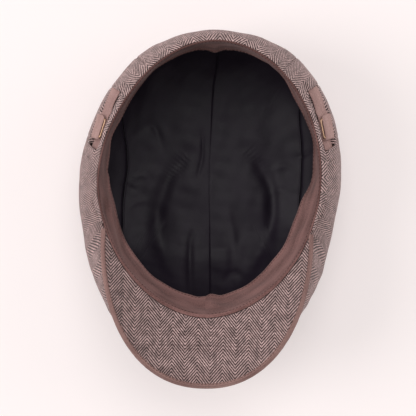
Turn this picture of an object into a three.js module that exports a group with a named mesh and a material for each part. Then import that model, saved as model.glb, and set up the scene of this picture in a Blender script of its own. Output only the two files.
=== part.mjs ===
// A flat cap of herringbone tweed with a stiff peak and a buckled strap at each side, lying
// upside down on its crown with the head opening up, as a cap is put down on a table.
//
// Millimetres. +Z points up, out of the head opening. The peak points along -Y and X runs across.
// The origin is on the table, under the middle of the cap's length and width.
//
// The shell is a loft of profiles. An angle runs round the cap, 0 at +X and 90 at the back. A
// station runs along each profile: 0 at the mouth, 1 where the crown is widest, 2 where it meets
// the table and 3 at the centre of the flat that it rests on. A sewn panel is a patch of that loft.
import * as THREE from "three";

// Head opening: a size 58 head, 580 mm round.
const HEAD_WIDTH = 164;
const HEAD_LENGTH = 203;
const HEAD_SQUARENESS = 1.9; // exponent of the oval, 2 is an ellipse
const RIM_HEIGHT = 85; // above the table, at the middle of the opening
const RIM_TILT = 8; // degrees, the rim climbs towards the back

// Crown: how far it stands out past the opening, and the flat that it rests on.
const SIDE_BULGE = 17;
const BACK_BULGE = 11.5;
const FRONT_SETBACK = 10.5; // from the peak's tip back to the crown's front
const FRONT_TUCK = 1.5; // the front is sewn to the peak this far behind its foremost line
const FLAT_WIDTH = 104;
const FLAT_LENGTH = 118;
const FLAT_FORWARD = -4; // from the middle of the opening towards the peak
const TWEED = 1.8;

// Peak: a board bent about a lengthwise axis, with cloth on both faces and a bound edge.
const PEAK_REACH = 51; // from the opening's front to the tip
const PEAK_SIDE = 2.6; // the peak's ends stand out this far past the opening
const PEAK_SQUARENESS = 2.2;
const PEAK_PITCH = 14; // degrees, the tip stands up from the opening
const PEAK_RADIUS = 120;
const PEAK_THICKNESS = 3;
const PEAK_END = 23; // degrees round the opening, where each end of the peak meets it
const BINDING_WIDTH = 3.4;
const BINDING_MARGIN = 1.2; // from the binding to the cloth sewn under the peak's sides
const BINDING_THICKNESS = 0.9;

// Bands round the opening.
const RIM_BAND_HEIGHT = 10;
const RIM_BAND_FLARE = 4.5;
const RIM_BAND_EDGE = 0.9; // the folded edge is rounded by this
const SWEATBAND_HEIGHT = 34;
const SWEATBAND_THICKNESS = 1.2;
const SWEATBAND_LEDGE = 3.1; // the turned edge that is sewn to the rim
const SWEATBAND_TURN = 3; // how far the turned edge goes down behind
const SWEATBAND_GROOVE = 1.6; // depth of the groove under the turned edge

// Lining.
const LINING = 1;
const LINING_CLEARANCE = 0.4; // over the flat of the crown
const LINING_SLACK = 4.7; // inside the crown's wall, where the crown is widest
const LINING_EDGE_DOWN = 2.4; // its sewn edge lies below the rim band, hidden by the sweatband
const LINING_EDGE_OUT = 1.1;
const LINING_FRONT_OUT = 5.5; // in front it hangs this far out from the rim, clear of the crown
const LINING_LANE_IN = 2.8; // it stands in behind the sunk strip that the strap lies in
const LINING_CORNER = 4; // its flat is smaller than the crown's by this all round
const LINING_LOFT = 2.4; // the loose cloth stands this far off the flat, but not in its creases
const CREASE_WIDTH = 66;
const CREASE_LENGTH = 110;
const CREASE_SPREAD = 6;
const CREASE_FORWARD = 25;

// Side straps and buckles.
const STRAP_WIDTH = 12;
const STRAP_THICKNESS = 1;
const FRONT_STRAP_WIDTH = 10;
const BUCKLE_LENGTH = 15;
const BUCKLE_WIRE = 1.2;
const TAB_LENGTH = 18;
const FOLD_SETBACK = 6.5; // from the front slit to the strap's fold round the buckle
const STRAP_TUCK = 1.6; // each strap goes on this far beyond its slit
const STRAP_CLIMB = 4; // the strap rises over this length, to clear the strap under it
const STRAP_RECESS = 3; // the inset cloth lies this far below the panels at the strap's ends
const STRAP_HOLLOW = 2.8; // and this much deeper at the buckle, since the strap is drawn taut
const SLIT_LIFT = 1.3; // the panels' edges stand up over the strap's ends

const SEAM_GAP = 0.3;

// Where the seams lie, in degrees from +X round the right-hand side, at the mouth.
const CORNER_SEAM = 52.3;
const REAR_SLIT = 37;
const FRONT_SLIT = 11.5;
const FRONT_SLIT_SLANT = 5.6; // degrees gained at each station down the profile
const TOP_SEAM_STATION = 1.45;
const TOP_SEAM_START = 20; // degrees ahead of +X, where it starts to climb to the mouth
const TOP_SEAM_END = 62;

// How far the sweatband's free edge leans in from the rim, as a share of its height.
const LEAN = [
  { angle: -90, share: 0.46 },
  { angle: -82, share: 0.37 },
  { angle: -75, share: 0.365 },
  { angle: -60, share: 0.32 },
  { angle: -45, share: 0.315 },
  { angle: -25, share: 0.32 },
  { angle: -12, share: 0.265 },
  { angle: 0, share: 0.19 },
  { angle: 10, share: 0.1 },
  { angle: 20, share: 0.07 },
  { angle: 40, share: 0.09 },
  { angle: 60, share: 0.09 },
  { angle: 75, share: 0.12 },
  { angle: 90, share: 0.21 },
];

const RAD = Math.PI / 180;
const CAP_LENGTH = BACK_BULGE + HEAD_LENGTH + PEAK_REACH;
const HEAD_Y = CAP_LENGTH / 2 - BACK_BULGE - HEAD_LENGTH / 2;
const PEAK_BASE = RIM_HEIGHT - (Math.tan(RIM_TILT * RAD) * HEAD_LENGTH) / 2;
const RIM_FRONT_Y = HEAD_Y - HEAD_LENGTH / 2;
const TIP_Y = -CAP_LENGTH / 2;
const HALF_GAP_DEG = SEAM_GAP / HEAD_WIDTH / RAD;

const mix = (a, b, k) => a + (b - a) * k;
const clamp01 = (k) => Math.min(1, Math.max(0, k));
const smooth = (a, b, x) => {
  const k = clamp01((x - a) / (b - a));
  return k * k * (3 - 2 * k);
};
const power = (v, exponent) => Math.sign(v) * Math.abs(v) ** exponent;
const vec = (x, y, z) => new THREE.Vector3(x, y, z);

// The same angle on the right-hand side, from -90 at the front to 90 at the back.
const folded = (deg) => Math.asin(Math.sin(deg * RAD)) / RAD;

function leanAt(deg) {
  const a = folded(deg);
  const next = Math.max(1, LEAN.findIndex((row) => row.angle >= a - 1e-9));
  const [low, high] = [LEAN[next - 1], LEAN[next]];
  const k = (a - low.angle) / (high.angle - low.angle);
  return mix(low.share, high.share, k * k * (3 - 2 * k)) * SWEATBAND_HEIGHT;
}

// Rim and peak.
function peakZ(x, y) {
  return PEAK_BASE - Math.tan(PEAK_PITCH * RAD) * (y - RIM_FRONT_Y) + (x * x) / (2 * PEAK_RADIUS);
}

const peakNormal = (p) => vec(-p.x / PEAK_RADIUS, Math.tan(PEAK_PITCH * RAD), 1).normalize();

function rimPlan(deg) {
  const [c, s] = [Math.cos(deg * RAD), Math.sin(deg * RAD)];
  const exponent = 2 / HEAD_SQUARENESS;
  const x = (HEAD_WIDTH / 2) * power(c, exponent);
  return vec(x, HEAD_Y + (HEAD_LENGTH / 2) * power(s, exponent), 0);
}

const flatRimZ = (y) => RIM_HEIGHT + Math.tan(RIM_TILT * RAD) * (y - HEAD_Y);

// The rim is flat round the back and follows the peak's board in front.
function rim(deg) {
  const p = rimPlan(deg);
  const onPeak = smooth(-PEAK_END + 9, -PEAK_END - 9, folded(deg));
  const top = peakZ(p.x, p.y) + PEAK_THICKNESS / 2 + SEAM_GAP;
  return p.setZ(mix(flatRimZ(p.y), top, onPeak));
}

function outward(deg) {
  const along = rimPlan(deg + 0.5).sub(rimPlan(deg - 0.5));
  return vec(along.y, -along.x, 0).normalize();
}

// The peak's outline, matched to the angle round the opening.
function outline(deg) {
  const turn = clamp01((-PEAK_END - folded(deg)) / (90 - PEAK_END)) * 90 * RAD;
  const side = Math.sign(Math.cos(deg * RAD)) || 1;
  const exponent = 2 / PEAK_SQUARENESS;
  const end = rimPlan(-PEAK_END);
  const x = side * (end.x + PEAK_SIDE) * power(Math.max(0, Math.cos(turn)), exponent);
  const y = end.y - (end.y - TIP_Y) * power(Math.sin(turn), exponent);
  return vec(x, y, 0);
}

// A point on the board's middle surface, a distance in from its outline.
function onPeak(deg, inset) {
  const [edge, inner] = [outline(deg), rimPlan(deg)];
  const p = edge.clone().lerp(inner, inset / edge.distanceTo(inner));
  return p.setZ(peakZ(p.x, p.y));
}

const peakDepth = (deg) => outline(deg).distanceTo(rimPlan(deg));

// The crown's guide curves.
const frontness = (deg) => smooth(0.25, 1, -Math.sin(deg * RAD));
const backness = (deg) => Math.max(0, Math.sin(deg * RAD)) ** 2;

// The band round the opening narrows to nothing at the ends of the peak.
const bandShare = (deg) => mix(0.2, 1, smooth(-PEAK_END + 1, -PEAK_END + 15, folded(deg)));
const bandFlare = (deg) => Math.max(TWEED + SEAM_GAP, RIM_BAND_FLARE * bandShare(deg));

function crownMouth(deg) {
  const fromRim = rim(deg).addScaledVector(outward(deg), bandFlare(deg));
  fromRim.z -= RIM_BAND_HEIGHT * bandShare(deg) + SEAM_GAP;
  const ahead = clamp01((-PEAK_END - folded(deg)) / (90 - PEAK_END));
  const atSide = BINDING_WIDTH + BINDING_MARGIN;
  const sewnIn = mix(atSide, FRONT_SETBACK + FRONT_TUCK, smooth(0.2, 1, ahead));
  const fromPeak = onPeak(deg, Math.min(sewnIn, peakDepth(deg) * 0.8));
  fromPeak.z -= PEAK_THICKNESS / 2 + SEAM_GAP + BINDING_THICKNESS * (1 - smooth(0.3, 0.8, ahead));
  return fromRim.lerp(fromPeak, smooth(-PEAK_END + 8, -PEAK_END - 5, folded(deg)));
}

function crownWidest(deg) {
  const [c, s] = [Math.cos(deg * RAD), Math.sin(deg * RAD)];
  const back = HEAD_LENGTH / 2 + BACK_BULGE;
  const front = HEAD_Y - TIP_Y - FRONT_SETBACK;
  const z = RIM_HEIGHT * mix(0.47 + 0.12 * backness(deg), 0.8, frontness(deg));
  return vec((HEAD_WIDTH / 2 + SIDE_BULGE) * c, HEAD_Y + (s > 0 ? back : front) * s, z);
}

function restingEdge(deg, inset = 0) {
  const [c, s] = [Math.cos(deg * RAD), Math.sin(deg * RAD)];
  return vec((FLAT_WIDTH / 2 - inset) * c, HEAD_Y - FLAT_FORWARD + (FLAT_LENGTH / 2 - inset) * s, 0);
}

function bezier(a, b, c, d, k) {
  const m = 1 - k;
  return a.clone().multiplyScalar(m * m * m)
    .addScaledVector(b, 3 * m * m * k)
    .addScaledVector(c, 3 * m * k * k)
    .addScaledVector(d, k * k * k);
}

// A point at an angle and a station of a shell given by its mouth, widest line and resting edge.
function profile({ mouth, widest, floor, centre, flare }, deg, station) {
  if (station >= 2) return floor.clone().lerp(centre, station - 2);
  if (station < 1) {
    const reach = mouth.distanceTo(widest) * 0.36;
    const leave = mouth.clone().addScaledVector(outward(deg), reach * flare);
    leave.z -= reach * Math.sqrt(1 - flare * flare);
    return bezier(mouth, leave, widest.clone().setZ(widest.z + reach), widest, station);
  }
  const front = frontness(deg);
  const drop = (widest.z - floor.z) * mix(0.6, 0.22, front);
  const run = floor.clone().lerp(vec(widest.x, widest.y, floor.z), mix(0.52, 0.33, front));
  return bezier(widest, widest.clone().setZ(widest.z - drop), run, floor, station - 1);
}

function crown(deg, station) {
  const guides = {
    mouth: crownMouth(deg),
    widest: crownWidest(deg),
    floor: restingEdge(deg),
    centre: vec(0, HEAD_Y - FLAT_FORWARD, 0),
    flare: 0.55,
  };
  return profile(guides, deg, station);
}

// The strap's lane along the side runs between two slits, and nears the rim towards the front.
const LANE_REAR = 0.36;
const LANE_FRONT = 0.23;
const LANE_HALF = 0.165; // the flat of its floor, to each side
const LANE_WALL = 0.075;
const frontSlit = (station) => FRONT_SLIT + FRONT_SLIT_SLANT * station;
const rearSlit = () => REAR_SLIT;
const laneStation = (share) => mix(LANE_REAR, LANE_FRONT, share);
const laneShare = (deg) => (REAR_SLIT - Math.abs(folded(deg))) / (REAR_SLIT - frontSlit(LANE_FRONT));
const recess = (share) =>
  STRAP_RECESS + STRAP_HOLLOW * smooth(0, 0.5, share) * smooth(1.1, 0.8, share);

function inLane(share, station) {
  const away = Math.abs(station - laneStation(clamp01(share)));
  return smooth(LANE_HALF + LANE_WALL, LANE_HALF, away);
}

// The lining hangs inside the crown, and in front it drops from the rim without filling the peak.
function lining(deg, station) {
  const front = smooth(0.35, 0.9, -Math.sin(deg * RAD));
  const mouth = rim(deg).addScaledVector(outward(deg), LINING_EDGE_OUT);
  mouth.z -= RIM_BAND_HEIGHT + LINING_EDGE_DOWN;
  const widest = crownWidest(deg).addScaledVector(outward(deg), -TWEED - LINING_SLACK);
  widest.z *= mix(0.94, 0.66, front);
  const ahead = rimPlan(deg).addScaledVector(outward(deg), LINING_FRONT_OUT);
  widest.x = mix(widest.x, ahead.x, front);
  widest.y = mix(widest.y, ahead.y, front);
  const base = TWEED + LINING_CLEARANCE;
  const floor = restingEdge(deg, LINING_CORNER).setZ(base);
  const centre = vec(0, HEAD_Y - FLAT_FORWARD, base);
  const share = laneShare(deg);
  const beside = smooth(-0.1, 0.3, share) * smooth(1.15, 0.9, share) * (Math.sin(deg * RAD) > 0);
  const inwards = LINING_LANE_IN * beside * Math.exp(-(((station - 0.3) / 0.3) ** 4));
  const p = profile({ mouth, widest, floor, centre, flare: 0 }, deg, station);
  return p.addScaledVector(outward(deg), -inwards);
}

// A long soft crease runs round the lining's middle, deepest at its sides.
function liningLoft(p) {
  const across = p.x / (CREASE_WIDTH / 2);
  const along = (p.y - HEAD_Y + CREASE_FORWARD) / (CREASE_LENGTH / 2);
  const off = (Math.hypot(across, along) - 1) * (CREASE_WIDTH / 2);
  const crease = Math.exp(-((off / CREASE_SPREAD) ** 2)) * smooth(0.1, 0.6, Math.abs(across));
  return LINING_LOFT * (1 - crease);
}

// The surface's unit normal, pointing out of the cap.
function normalOf(surface, deg, station) {
  const s = Math.min(station, 2.6);
  const around = surface(deg + 0.4, s).sub(surface(deg - 0.4, s));
  const down = surface(deg, Math.min(s + 0.02, 2.99)).sub(surface(deg, Math.max(0, s - 0.02)));
  return down.cross(around).normalize();
}

// Closed solid between an outer and an inner grid of points, each a list of rows of columns.
function shellGeometry(outer, inner, { ring = false, pole = false } = {}) {
  const [rows, columns] = [outer.length, outer[0].length];
  const positions = [];
  const put = (p) => positions.push(p.x, p.y, p.z) / 3 - 1;
  const ids = [outer, inner].map((grid) =>
    grid.map((row, r) => {
      if (pole && r === rows - 1) return Array(columns).fill(put(row[0]));
      return row.map(put);
    }),
  );
  const index = [];
  const tri = (a, b, c) => {
    if (a !== b && b !== c && a !== c) index.push(a, b, c);
  };
  const span = (a, b) =>
    Math.hypot(...[0, 1, 2].map((k) => positions[3 * a + k] - positions[3 * b + k]));
  const quad = (a, b, c, d) => {
    const short = span(a, c) <= span(b, d);
    tri(a, b, short ? c : d);
    tri(short ? a : b, c, d);
  };
  const spans = ring ? columns : columns - 1;
  const [o, i] = ids;
  for (let c = 0; c < spans; c++) {
    const n = (c + 1) % columns;
    for (let r = 0; r < rows - 1; r++) {
      quad(o[r][c], o[r + 1][c], o[r + 1][n], o[r][n]);
      quad(i[r][c], i[r][n], i[r + 1][n], i[r + 1][c]);
    }
    quad(o[0][c], o[0][n], i[0][n], i[0][c]);
    if (!pole) quad(o[rows - 1][n], o[rows - 1][c], i[rows - 1][c], i[rows - 1][n]);
  }
  for (let r = 0; r < rows - 1 && !ring; r++) {
    const e = columns - 1;
    quad(o[r + 1][0], o[r][0], i[r][0], i[r + 1][0]);
    quad(o[r][e], o[r + 1][e], i[r + 1][e], i[r][e]);
  }
  return closed(positions, index);
}

// A geometry from merged vertices, turned so that its faces point out.
function closed(positions, index) {
  let volume = 0;
  const at = (k) => vec(positions[3 * k], positions[3 * k + 1], positions[3 * k + 2]);
  for (let k = 0; k < index.length; k += 3) {
    const [a, b, c] = [at(index[k]), at(index[k + 1]), at(index[k + 2])];
    volume += a.dot(b.cross(c));
  }
  if (volume < 0) {
    for (let k = 0; k < index.length; k += 3) {
      [index[k], index[k + 1]] = [index[k + 1], index[k]];
    }
  }
  const geometry = new THREE.BufferGeometry();
  geometry.setAttribute("position", new THREE.Float32BufferAttribute(positions, 3));
  geometry.setIndex(index);
  geometry.computeVertexNormals();
  return geometry;
}

// A solid through sections, each a loop of points. The ends are capped unless the loft is a ring.
function loft(sections, ring = false) {
  const sides = sections[0].length;
  const positions = sections.flat().flatMap((p) => [p.x, p.y, p.z]);
  const index = [];
  const spans = ring ? sections.length : sections.length - 1;
  for (let s = 0; s < spans; s++) {
    const [a, b] = [s * sides, ((s + 1) % sections.length) * sides];
    for (let k = 0; k < sides; k++) {
      const n = (k + 1) % sides;
      index.push(a + k, a + n, b + n, a + k, b + n, b + k);
    }
  }
  return { positions, index, sides };
}

// Caps both ends of a loft with triangles of a flat outline, given as 2-D points.
function capped({ positions, index, sides }, flat) {
  const last = positions.length / 3 - sides;
  const reversed = THREE.ShapeUtils.isClockWise(flat);
  for (const triangle of THREE.ShapeUtils.triangulateShape(flat, [])) {
    const [a, b, c] = reversed ? triangle.reverse() : triangle;
    index.push(c, b, a, last + a, last + b, last + c);
  }
  return closed(positions, index);
}

// Materials.
const finish = (color, roughness, metalness = 0) =>
  new THREE.MeshStandardMaterial({ color, roughness, metalness });
const tweed = finish(0x8b7371, 0.92);
const leather = finish(0x75564f, 0.6);
const liningCloth = finish(0x1d1b20, 0.75);
const brass = finish(0xb59a74, 0.35, 1);

const cap = new THREE.Group();
function add(name, geometry, material) {
  const mesh = new THREE.Mesh(geometry, material);
  mesh.name = name;
  cap.add(mesh);
}

// A panel of a shell, from one station to another. Each column is a seam or a share between two
// seams, and gives the angle at a station, since seams can slant.
function panel(surface, { columns, top, bottom, rows, levels, thickness, bump, pole, ring }) {
  const grids = [[], []];
  for (const level of levels ?? linear(0, 1, rows).map((share) => () => share)) {
    grids.forEach((grid) => grid.push([]));
    for (const column of columns) {
      let [deg, station] = [column(1), 1];
      for (let pass = 0; pass < 4; pass++) {
        station = mix(top(deg), bottom(deg), level(deg));
        deg = column(station);
      }
      const p = surface(deg, station);
      const n = normalOf(surface, deg, station);
      const raised = p.clone().addScaledVector(n, bump(deg, station, p));
      grids[0].at(-1).push(raised);
      grids[1].at(-1).push(raised.clone().addScaledVector(n, -thickness));
    }
  }
  if (pole) {
    grids.forEach((grid, k) => {
      const p = surface(90, 3);
      const n = vec(0, 0, -1);
      const lift = bump(90, 3, p) - k * thickness;
      grid.push(Array(grid[0].length).fill(p.addScaledVector(n, lift)));
    });
  }
  return shellGeometry(grids[0], grids[1], { ring, pole });
}

const linear = (from, to, steps) =>
  Array.from({ length: steps + 1 }, (_, k) => mix(from, to, k / steps));

// Columns spread evenly between two seams, which are functions of the station.
const between = (from, to, count) =>
  linear(0, 1, count).map((share) => (station) => mix(from(station), to(station), share));

// The same columns on the left-hand side.
const mirrored = (columns) => columns.map((column) => (station) => 180 - column(station));

// Half of a seam's gap, measured across the seam, as a difference of stations.
function halfGap(surface, deg, seam) {
  const station = Math.max(0.03, seam(deg));
  const down = surface(deg, station + 0.02).sub(surface(deg, station - 0.02));
  const along = surface(deg + 0.5, seam(deg + 0.5)).sub(surface(deg - 0.5, seam(deg - 0.5)));
  const across = down.length() * Math.max(0.12, Math.sin(down.angleTo(along)));
  return (0.5 * SEAM_GAP * 0.04) / across;
}

const topSeam = (deg) =>
  TOP_SEAM_STATION * smooth(-TOP_SEAM_END, -TOP_SEAM_START, folded(deg));

const flat = () => 0;
const atMouth = () => 0;
const aboveSeam = (deg) => topSeam(deg) - halfGap(crown, deg, topSeam);
const belowSeam = (deg) => (topSeam(deg) > 0 ? topSeam(deg) + halfGap(crown, deg, topSeam) : 0);


// The seams of the right-hand side from the front to the back, with the columns between them.
const SIDE_SEAMS = [
  { name: "front", from: () => -TOP_SEAM_END, to: frontSlit, columns: 20 },
  { name: "inset", from: frontSlit, to: rearSlit, columns: 8 },
  { name: "rear", from: rearSlit, to: () => CORNER_SEAM, columns: 4 },
];
const BACK_COLUMNS = 16;
// The inset's rows lie along the floor and the walls of the lane.
const INSET_ROWS = [
  () => 0,
  (lane) => Math.max(0.02, lane - LANE_HALF - LANE_WALL),
  (lane) => lane - LANE_HALF,
  (lane) => lane,
  (lane) => lane + LANE_HALF,
  (lane) => lane + LANE_HALF + LANE_WALL,
  () => 0.85,
  () => 1.15,
  () => 1.5,
];
const TIP_COLUMNS = 4;

const insetLevel = (row) => (deg) =>
  Math.min(1, row(laneStation(clamp01(laneShare(deg)))) / aboveSeam(deg));

function addCrown() {
  const lift = (slit, share) => (deg, station) => {
    const away = (Math.abs(folded(deg)) - slit(station)) / 4;
    return SLIT_LIFT * inLane(share, station) * Math.exp(-away * away);
  };
  const bumps = {
    front: lift(frontSlit, 1),
    inset: (deg, station) => -recess(laneShare(deg)) * inLane(laneShare(deg), station),
    rear: lift(rearSlit, 0),
  };
  const common = { thickness: TWEED, top: atMouth, bottom: aboveSeam, rows: 7 };
  const ring = between(() => -90, () => -TOP_SEAM_END, TIP_COLUMNS).slice(0, -1);
  for (const { name, from, to, columns } of SIDE_SEAMS) {
    const start = (station) => from(station) + HALF_GAP_DEG;
    const end = (station) => to(station) - HALF_GAP_DEG;
    const right = between(name === "front" ? () => 1.5 - TOP_SEAM_END : start, end, columns);
    const levels = name === "inset" ? INSET_ROWS.map((row) => insetLevel(row)) : undefined;
    const shape = { ...common, bump: bumps[name], levels };
    add(`crown_${name}_right`, panel(crown, { ...shape, columns: right }), tweed);
    add(`crown_${name}_left`, panel(crown, { ...shape, columns: mirrored(right) }), tweed);
    ring.push(...right.slice(0, -1));
  }
  const back = between(
    () => CORNER_SEAM + HALF_GAP_DEG,
    () => 180 - CORNER_SEAM - HALF_GAP_DEG,
    BACK_COLUMNS,
  );
  add("crown_back", panel(crown, { ...common, bump: flat, columns: back }), tweed);
  const left = mirrored(ring.slice(1).reverse());
  const under = { top: belowSeam, bottom: () => 2, rows: 4, ring: true, pole: true };
  const columns = [...ring, ...back, ...left];
  add("crown_top", panel(crown, { ...common, ...under, bump: flat, columns }), tweed);
}

// The band of tweed round the opening, from one end of the peak round the back to the other.
function addRimBand() {
  const sections = [];
  const steps = 44;
  const low = -PEAK_END + 2.5;
  for (let k = 0; k <= steps; k++) {
    const deg = mix(low, 180 - low, k / steps);
    const [p, out] = [rim(deg), outward(deg)];
    const at = (away, down) => p.clone().addScaledVector(out, away).setZ(p.z - down);
    const flare = bandFlare(deg);
    const height = RIM_BAND_HEIGHT * bandShare(deg);
    sections.push([
      at(RIM_BAND_EDGE / 3, 0),
      at(TWEED - RIM_BAND_EDGE / 3, 0),
      at(TWEED, RIM_BAND_EDGE),
      at(flare, height),
      at(flare - TWEED, height),
      at(0, RIM_BAND_EDGE),
    ]);
  }
  const hexagon = [[1, 0], [5, 0], [6, -2], [9, -9], [4, -9], [0, -2]];
  add("rim_band", capped(loft(sections), hexagon.map(([x, y]) => new THREE.Vector2(x, y))), tweed);
}

function addSweatband() {
  const sections = [];
  const steps = 60;
  for (let k = 0; k < steps; k++) {
    const deg = -90 + (360 * k) / steps;
    const [p, out, lean] = [rim(deg), outward(deg), leanAt(deg)];
    const at = (inward, down) => p.clone().addScaledVector(out, -inward).setZ(p.z - down);
    const [h, t] = [SWEATBAND_HEIGHT, SWEATBAND_THICKNESS];
    const middle = mix(SWEATBAND_LEDGE + SEAM_GAP, Math.max(lean, 2 * t), 0.45);
    sections.push([
      at(SEAM_GAP, SEAM_GAP),
      at(SWEATBAND_LEDGE, 0),
      at(SWEATBAND_LEDGE + SEAM_GAP, SWEATBAND_GROOVE),
      at(middle, h * 0.5),
      at(lean, h),
      at(lean - t, h),
      at(middle - t, h * 0.5),
      at(SEAM_GAP, SWEATBAND_TURN),
    ]);
  }
  const { positions, index } = loft(sections, true);
  add("sweatband", closed(positions, index), leather);
}

const LINING_SEAM = { front: -46, back: 47, station: 1.66, run: 30 };

function liningSeam(deg) {
  const { front, back, station, run } = LINING_SEAM;
  return station * smooth(0, run, Math.min(folded(deg) - front, back - folded(deg)));
}

function addLining() {
  const bump = (deg, station, p) => -liningLoft(p) * smooth(0.9, 1.7, station);
  const common = { thickness: LINING, bump };
  const { front, back } = LINING_SEAM;
  const narrow = between(() => front + 1, () => back - 1, 18);
  const whole = [
    ...between(() => -90, () => front, 8),
    ...narrow,
    ...between(() => back, () => 90, 8),
  ];
  for (const [side, name] of [[1, "right"], [-1, "left"]]) {
    const place = side > 0 ? (columns) => columns : mirrored;
    add(`lining_side_${name}`, panel(lining, {
      ...common,
      columns: place(narrow),
      top: atMouth,
      bottom: (deg) => liningSeam(deg) - halfGap(lining, deg, liningSeam),
      rows: 5,
    }), liningCloth);
    const half = panel(lining, {
      ...common,
      columns: place(whole),
      top: (deg) => (liningSeam(deg) > 0 ? liningSeam(deg) + halfGap(lining, deg, liningSeam) : 0),
      bottom: () => 2.4,
      rows: 5,
      pole: true,
    });
    add(`lining_top_${name}`, half.translate((side * SEAM_GAP) / 2, 0, 0), liningCloth);
  }
}

function addPeak() {
  const rows = 5;
  const columns = 40;
  const grids = [[], []];
  for (let r = 0; r <= rows; r++) {
    grids.forEach((grid) => grid.push([]));
    for (let c = 0; c <= columns; c++) {
      const deg = mix(180 + PEAK_END, 360 - PEAK_END, c / columns);
      const depth = peakDepth(deg);
      const p = onPeak(deg, mix(depth - SEAM_GAP, BINDING_THICKNESS + SEAM_GAP, r / rows));
      const n = (r === 0 ? vec(0, 0, 1) : peakNormal(p)).multiplyScalar(PEAK_THICKNESS / 2);
      grids[0][r].push(p.clone().add(n));
      grids[1][r].push(p.clone().sub(n));
    }
  }
  add("peak", shellGeometry(grids[0], grids[1]), tweed);
}

// The binding is folded over the peak's edge, so its section is a U lying on its side.
function addBinding() {
  const steps = 40;
  const channel = PEAK_THICKNESS / 2 + SEAM_GAP;
  const skin = channel + BINDING_THICKNESS;
  const face = (width) => [
    [width, skin],
    [BINDING_THICKNESS, skin],
    [0, skin * 0.5],
    [0, -skin * 0.5],
    [BINDING_THICKNESS, -skin],
    [width, -skin],
    [width, -channel],
    [BINDING_THICKNESS, -channel],
    [BINDING_THICKNESS, channel],
    [width, channel],
  ];
  const sections = [];
  for (let k = 0; k <= steps; k++) {
    const deg = mix(180 + PEAK_END, 360 - PEAK_END, k / steps);
    const width = Math.min(BINDING_WIDTH, peakDepth(deg) * 0.75);
    const n = peakNormal(onPeak(deg, 0));
    sections.push(face(width).map(([inset, up]) => onPeak(deg, inset).addScaledVector(n, up)));
  }
  const flatFace = face(BINDING_WIDTH).map(([x, y]) => new THREE.Vector2(x, y));
  add("peak_binding", capped(loft(sections), flatFace), leather);
}

// A place on a side's lane: millimetres forward of the rear slit, across the strap and above the
// cloth of the inset.
function lanePoint(side, forward, across, above) {
  const share = forward / laneLength;
  const deg = mix(REAR_SLIT, frontSlit(LANE_FRONT), share);
  const station = laneStation(share);
  const p = crown(deg, station);
  const n = normalOf(crown, deg, station);
  const down = crown(deg, station + 0.05).sub(crown(deg, station - 0.05)).normalize();
  p.addScaledVector(n, above - recess(share)).addScaledVector(down, across);
  return p.setX(p.x * side);
}

const laneLength = crown(REAR_SLIT, LANE_REAR)
  .distanceTo(crown(frontSlit(LANE_FRONT), LANE_FRONT));

// A flat strip along a path of {forward, above, width} stations in a side's lane.
function ribbon(side, path) {
  const sections = path.map((here, k) => {
    const [before, after] = [path[Math.max(0, k - 1)], path[Math.min(path.length - 1, k + 1)]];
    const [run, rise] = [after.forward - before.forward, after.above - before.above];
    const length = Math.hypot(run, rise);
    const [ux, uz] = [-rise / length, run / length];
    const half = STRAP_THICKNESS / 2;
    const corner = (across, face) =>
      lanePoint(side, here.forward + ux * half * face, across, here.above + uz * half * face);
    const w = here.width / 2;
    return [corner(-w, -1), corner(w, -1), corner(w, 1), corner(-w, 1)];
  });
  const square = [[0, 0], [1, 0], [1, 1], [0, 1]].map(([x, y]) => new THREE.Vector2(x, y));
  return capped(loft(sections), square);
}

// The rear strap runs forward under the buckle, turns round its front bar and lies back on top.
function addStraps() {
  const half = STRAP_THICKNESS / 2;
  const under = SEAM_GAP + half;
  const low = under + STRAP_THICKNESS + SEAM_GAP;
  const high = low + STRAP_THICKNESS + BUCKLE_WIRE + 2 * SEAM_GAP;
  const turn = (high - low) / 2;
  const foldAt = laneLength - FOLD_SETBACK - turn;
  const tabEnd = foldAt + turn + half - TAB_LENGTH;
  const buckleMiddle = foldAt + half - BUCKLE_LENGTH / 2;
  for (const [side, name] of [[1, "right"], [-1, "left"]]) {
    const rear = linear(-STRAP_TUCK, tabEnd - STRAP_CLIMB, 5).map((forward) => ({
      forward, above: under,
    }));
    const climb = linear(tabEnd, foldAt, 5).map((forward) => ({ forward, above: low }));
    const bend = linear(-75, 75, 5).map((deg) => ({
      forward: foldAt + turn * Math.cos(deg * RAD),
      above: low + turn + turn * Math.sin(deg * RAD),
    }));
    const back = linear(foldAt, tabEnd + STRAP_THICKNESS, 5).map((forward) => ({
      forward, above: high,
    }));
    const end = { forward: tabEnd, above: high, width: STRAP_WIDTH - STRAP_THICKNESS };
    const path = [...rear, ...climb, ...bend, ...back, end];
    path.forEach((at) => (at.width ??= STRAP_WIDTH));
    add(`strap_rear_${name}`, ribbon(side, path), leather);

    const front = linear(buckleMiddle, laneLength + STRAP_TUCK, 8).map((forward) => ({
      forward, above: under, width: FRONT_STRAP_WIDTH,
    }));
    add(`strap_front_${name}`, ribbon(side, front), leather);

    const sections = [];
    const wire = BUCKLE_WIRE / 2;
    const [halfLength, halfWidth] = [BUCKLE_LENGTH / 2 - wire, STRAP_WIDTH / 2 + wire + SEAM_GAP];
    const steps = 28;
    for (let k = 0; k < steps; k++) {
      const a = (2 * Math.PI * k) / steps;
      const squared = 2 / 7;
      const along = power(Math.cos(a), squared);
      const across = power(Math.sin(a), squared);
      sections.push(linear(0, 300, 5).map((deg) => {
        const out = wire * Math.cos(deg * RAD);
        return lanePoint(
          side,
          buckleMiddle + (halfLength + out) * along,
          (halfWidth + out) * across,
          low + turn + wire * Math.sin(deg * RAD),
        );
      }));
    }
    const { positions, index } = loft(sections, true);
    add(`buckle_${name}`, closed(positions, index), brass);
  }
}

addCrown();
addRimBand();
addSweatband();
addLining();
addPeak();
addBinding();
addStraps();

export default cap;
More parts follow.
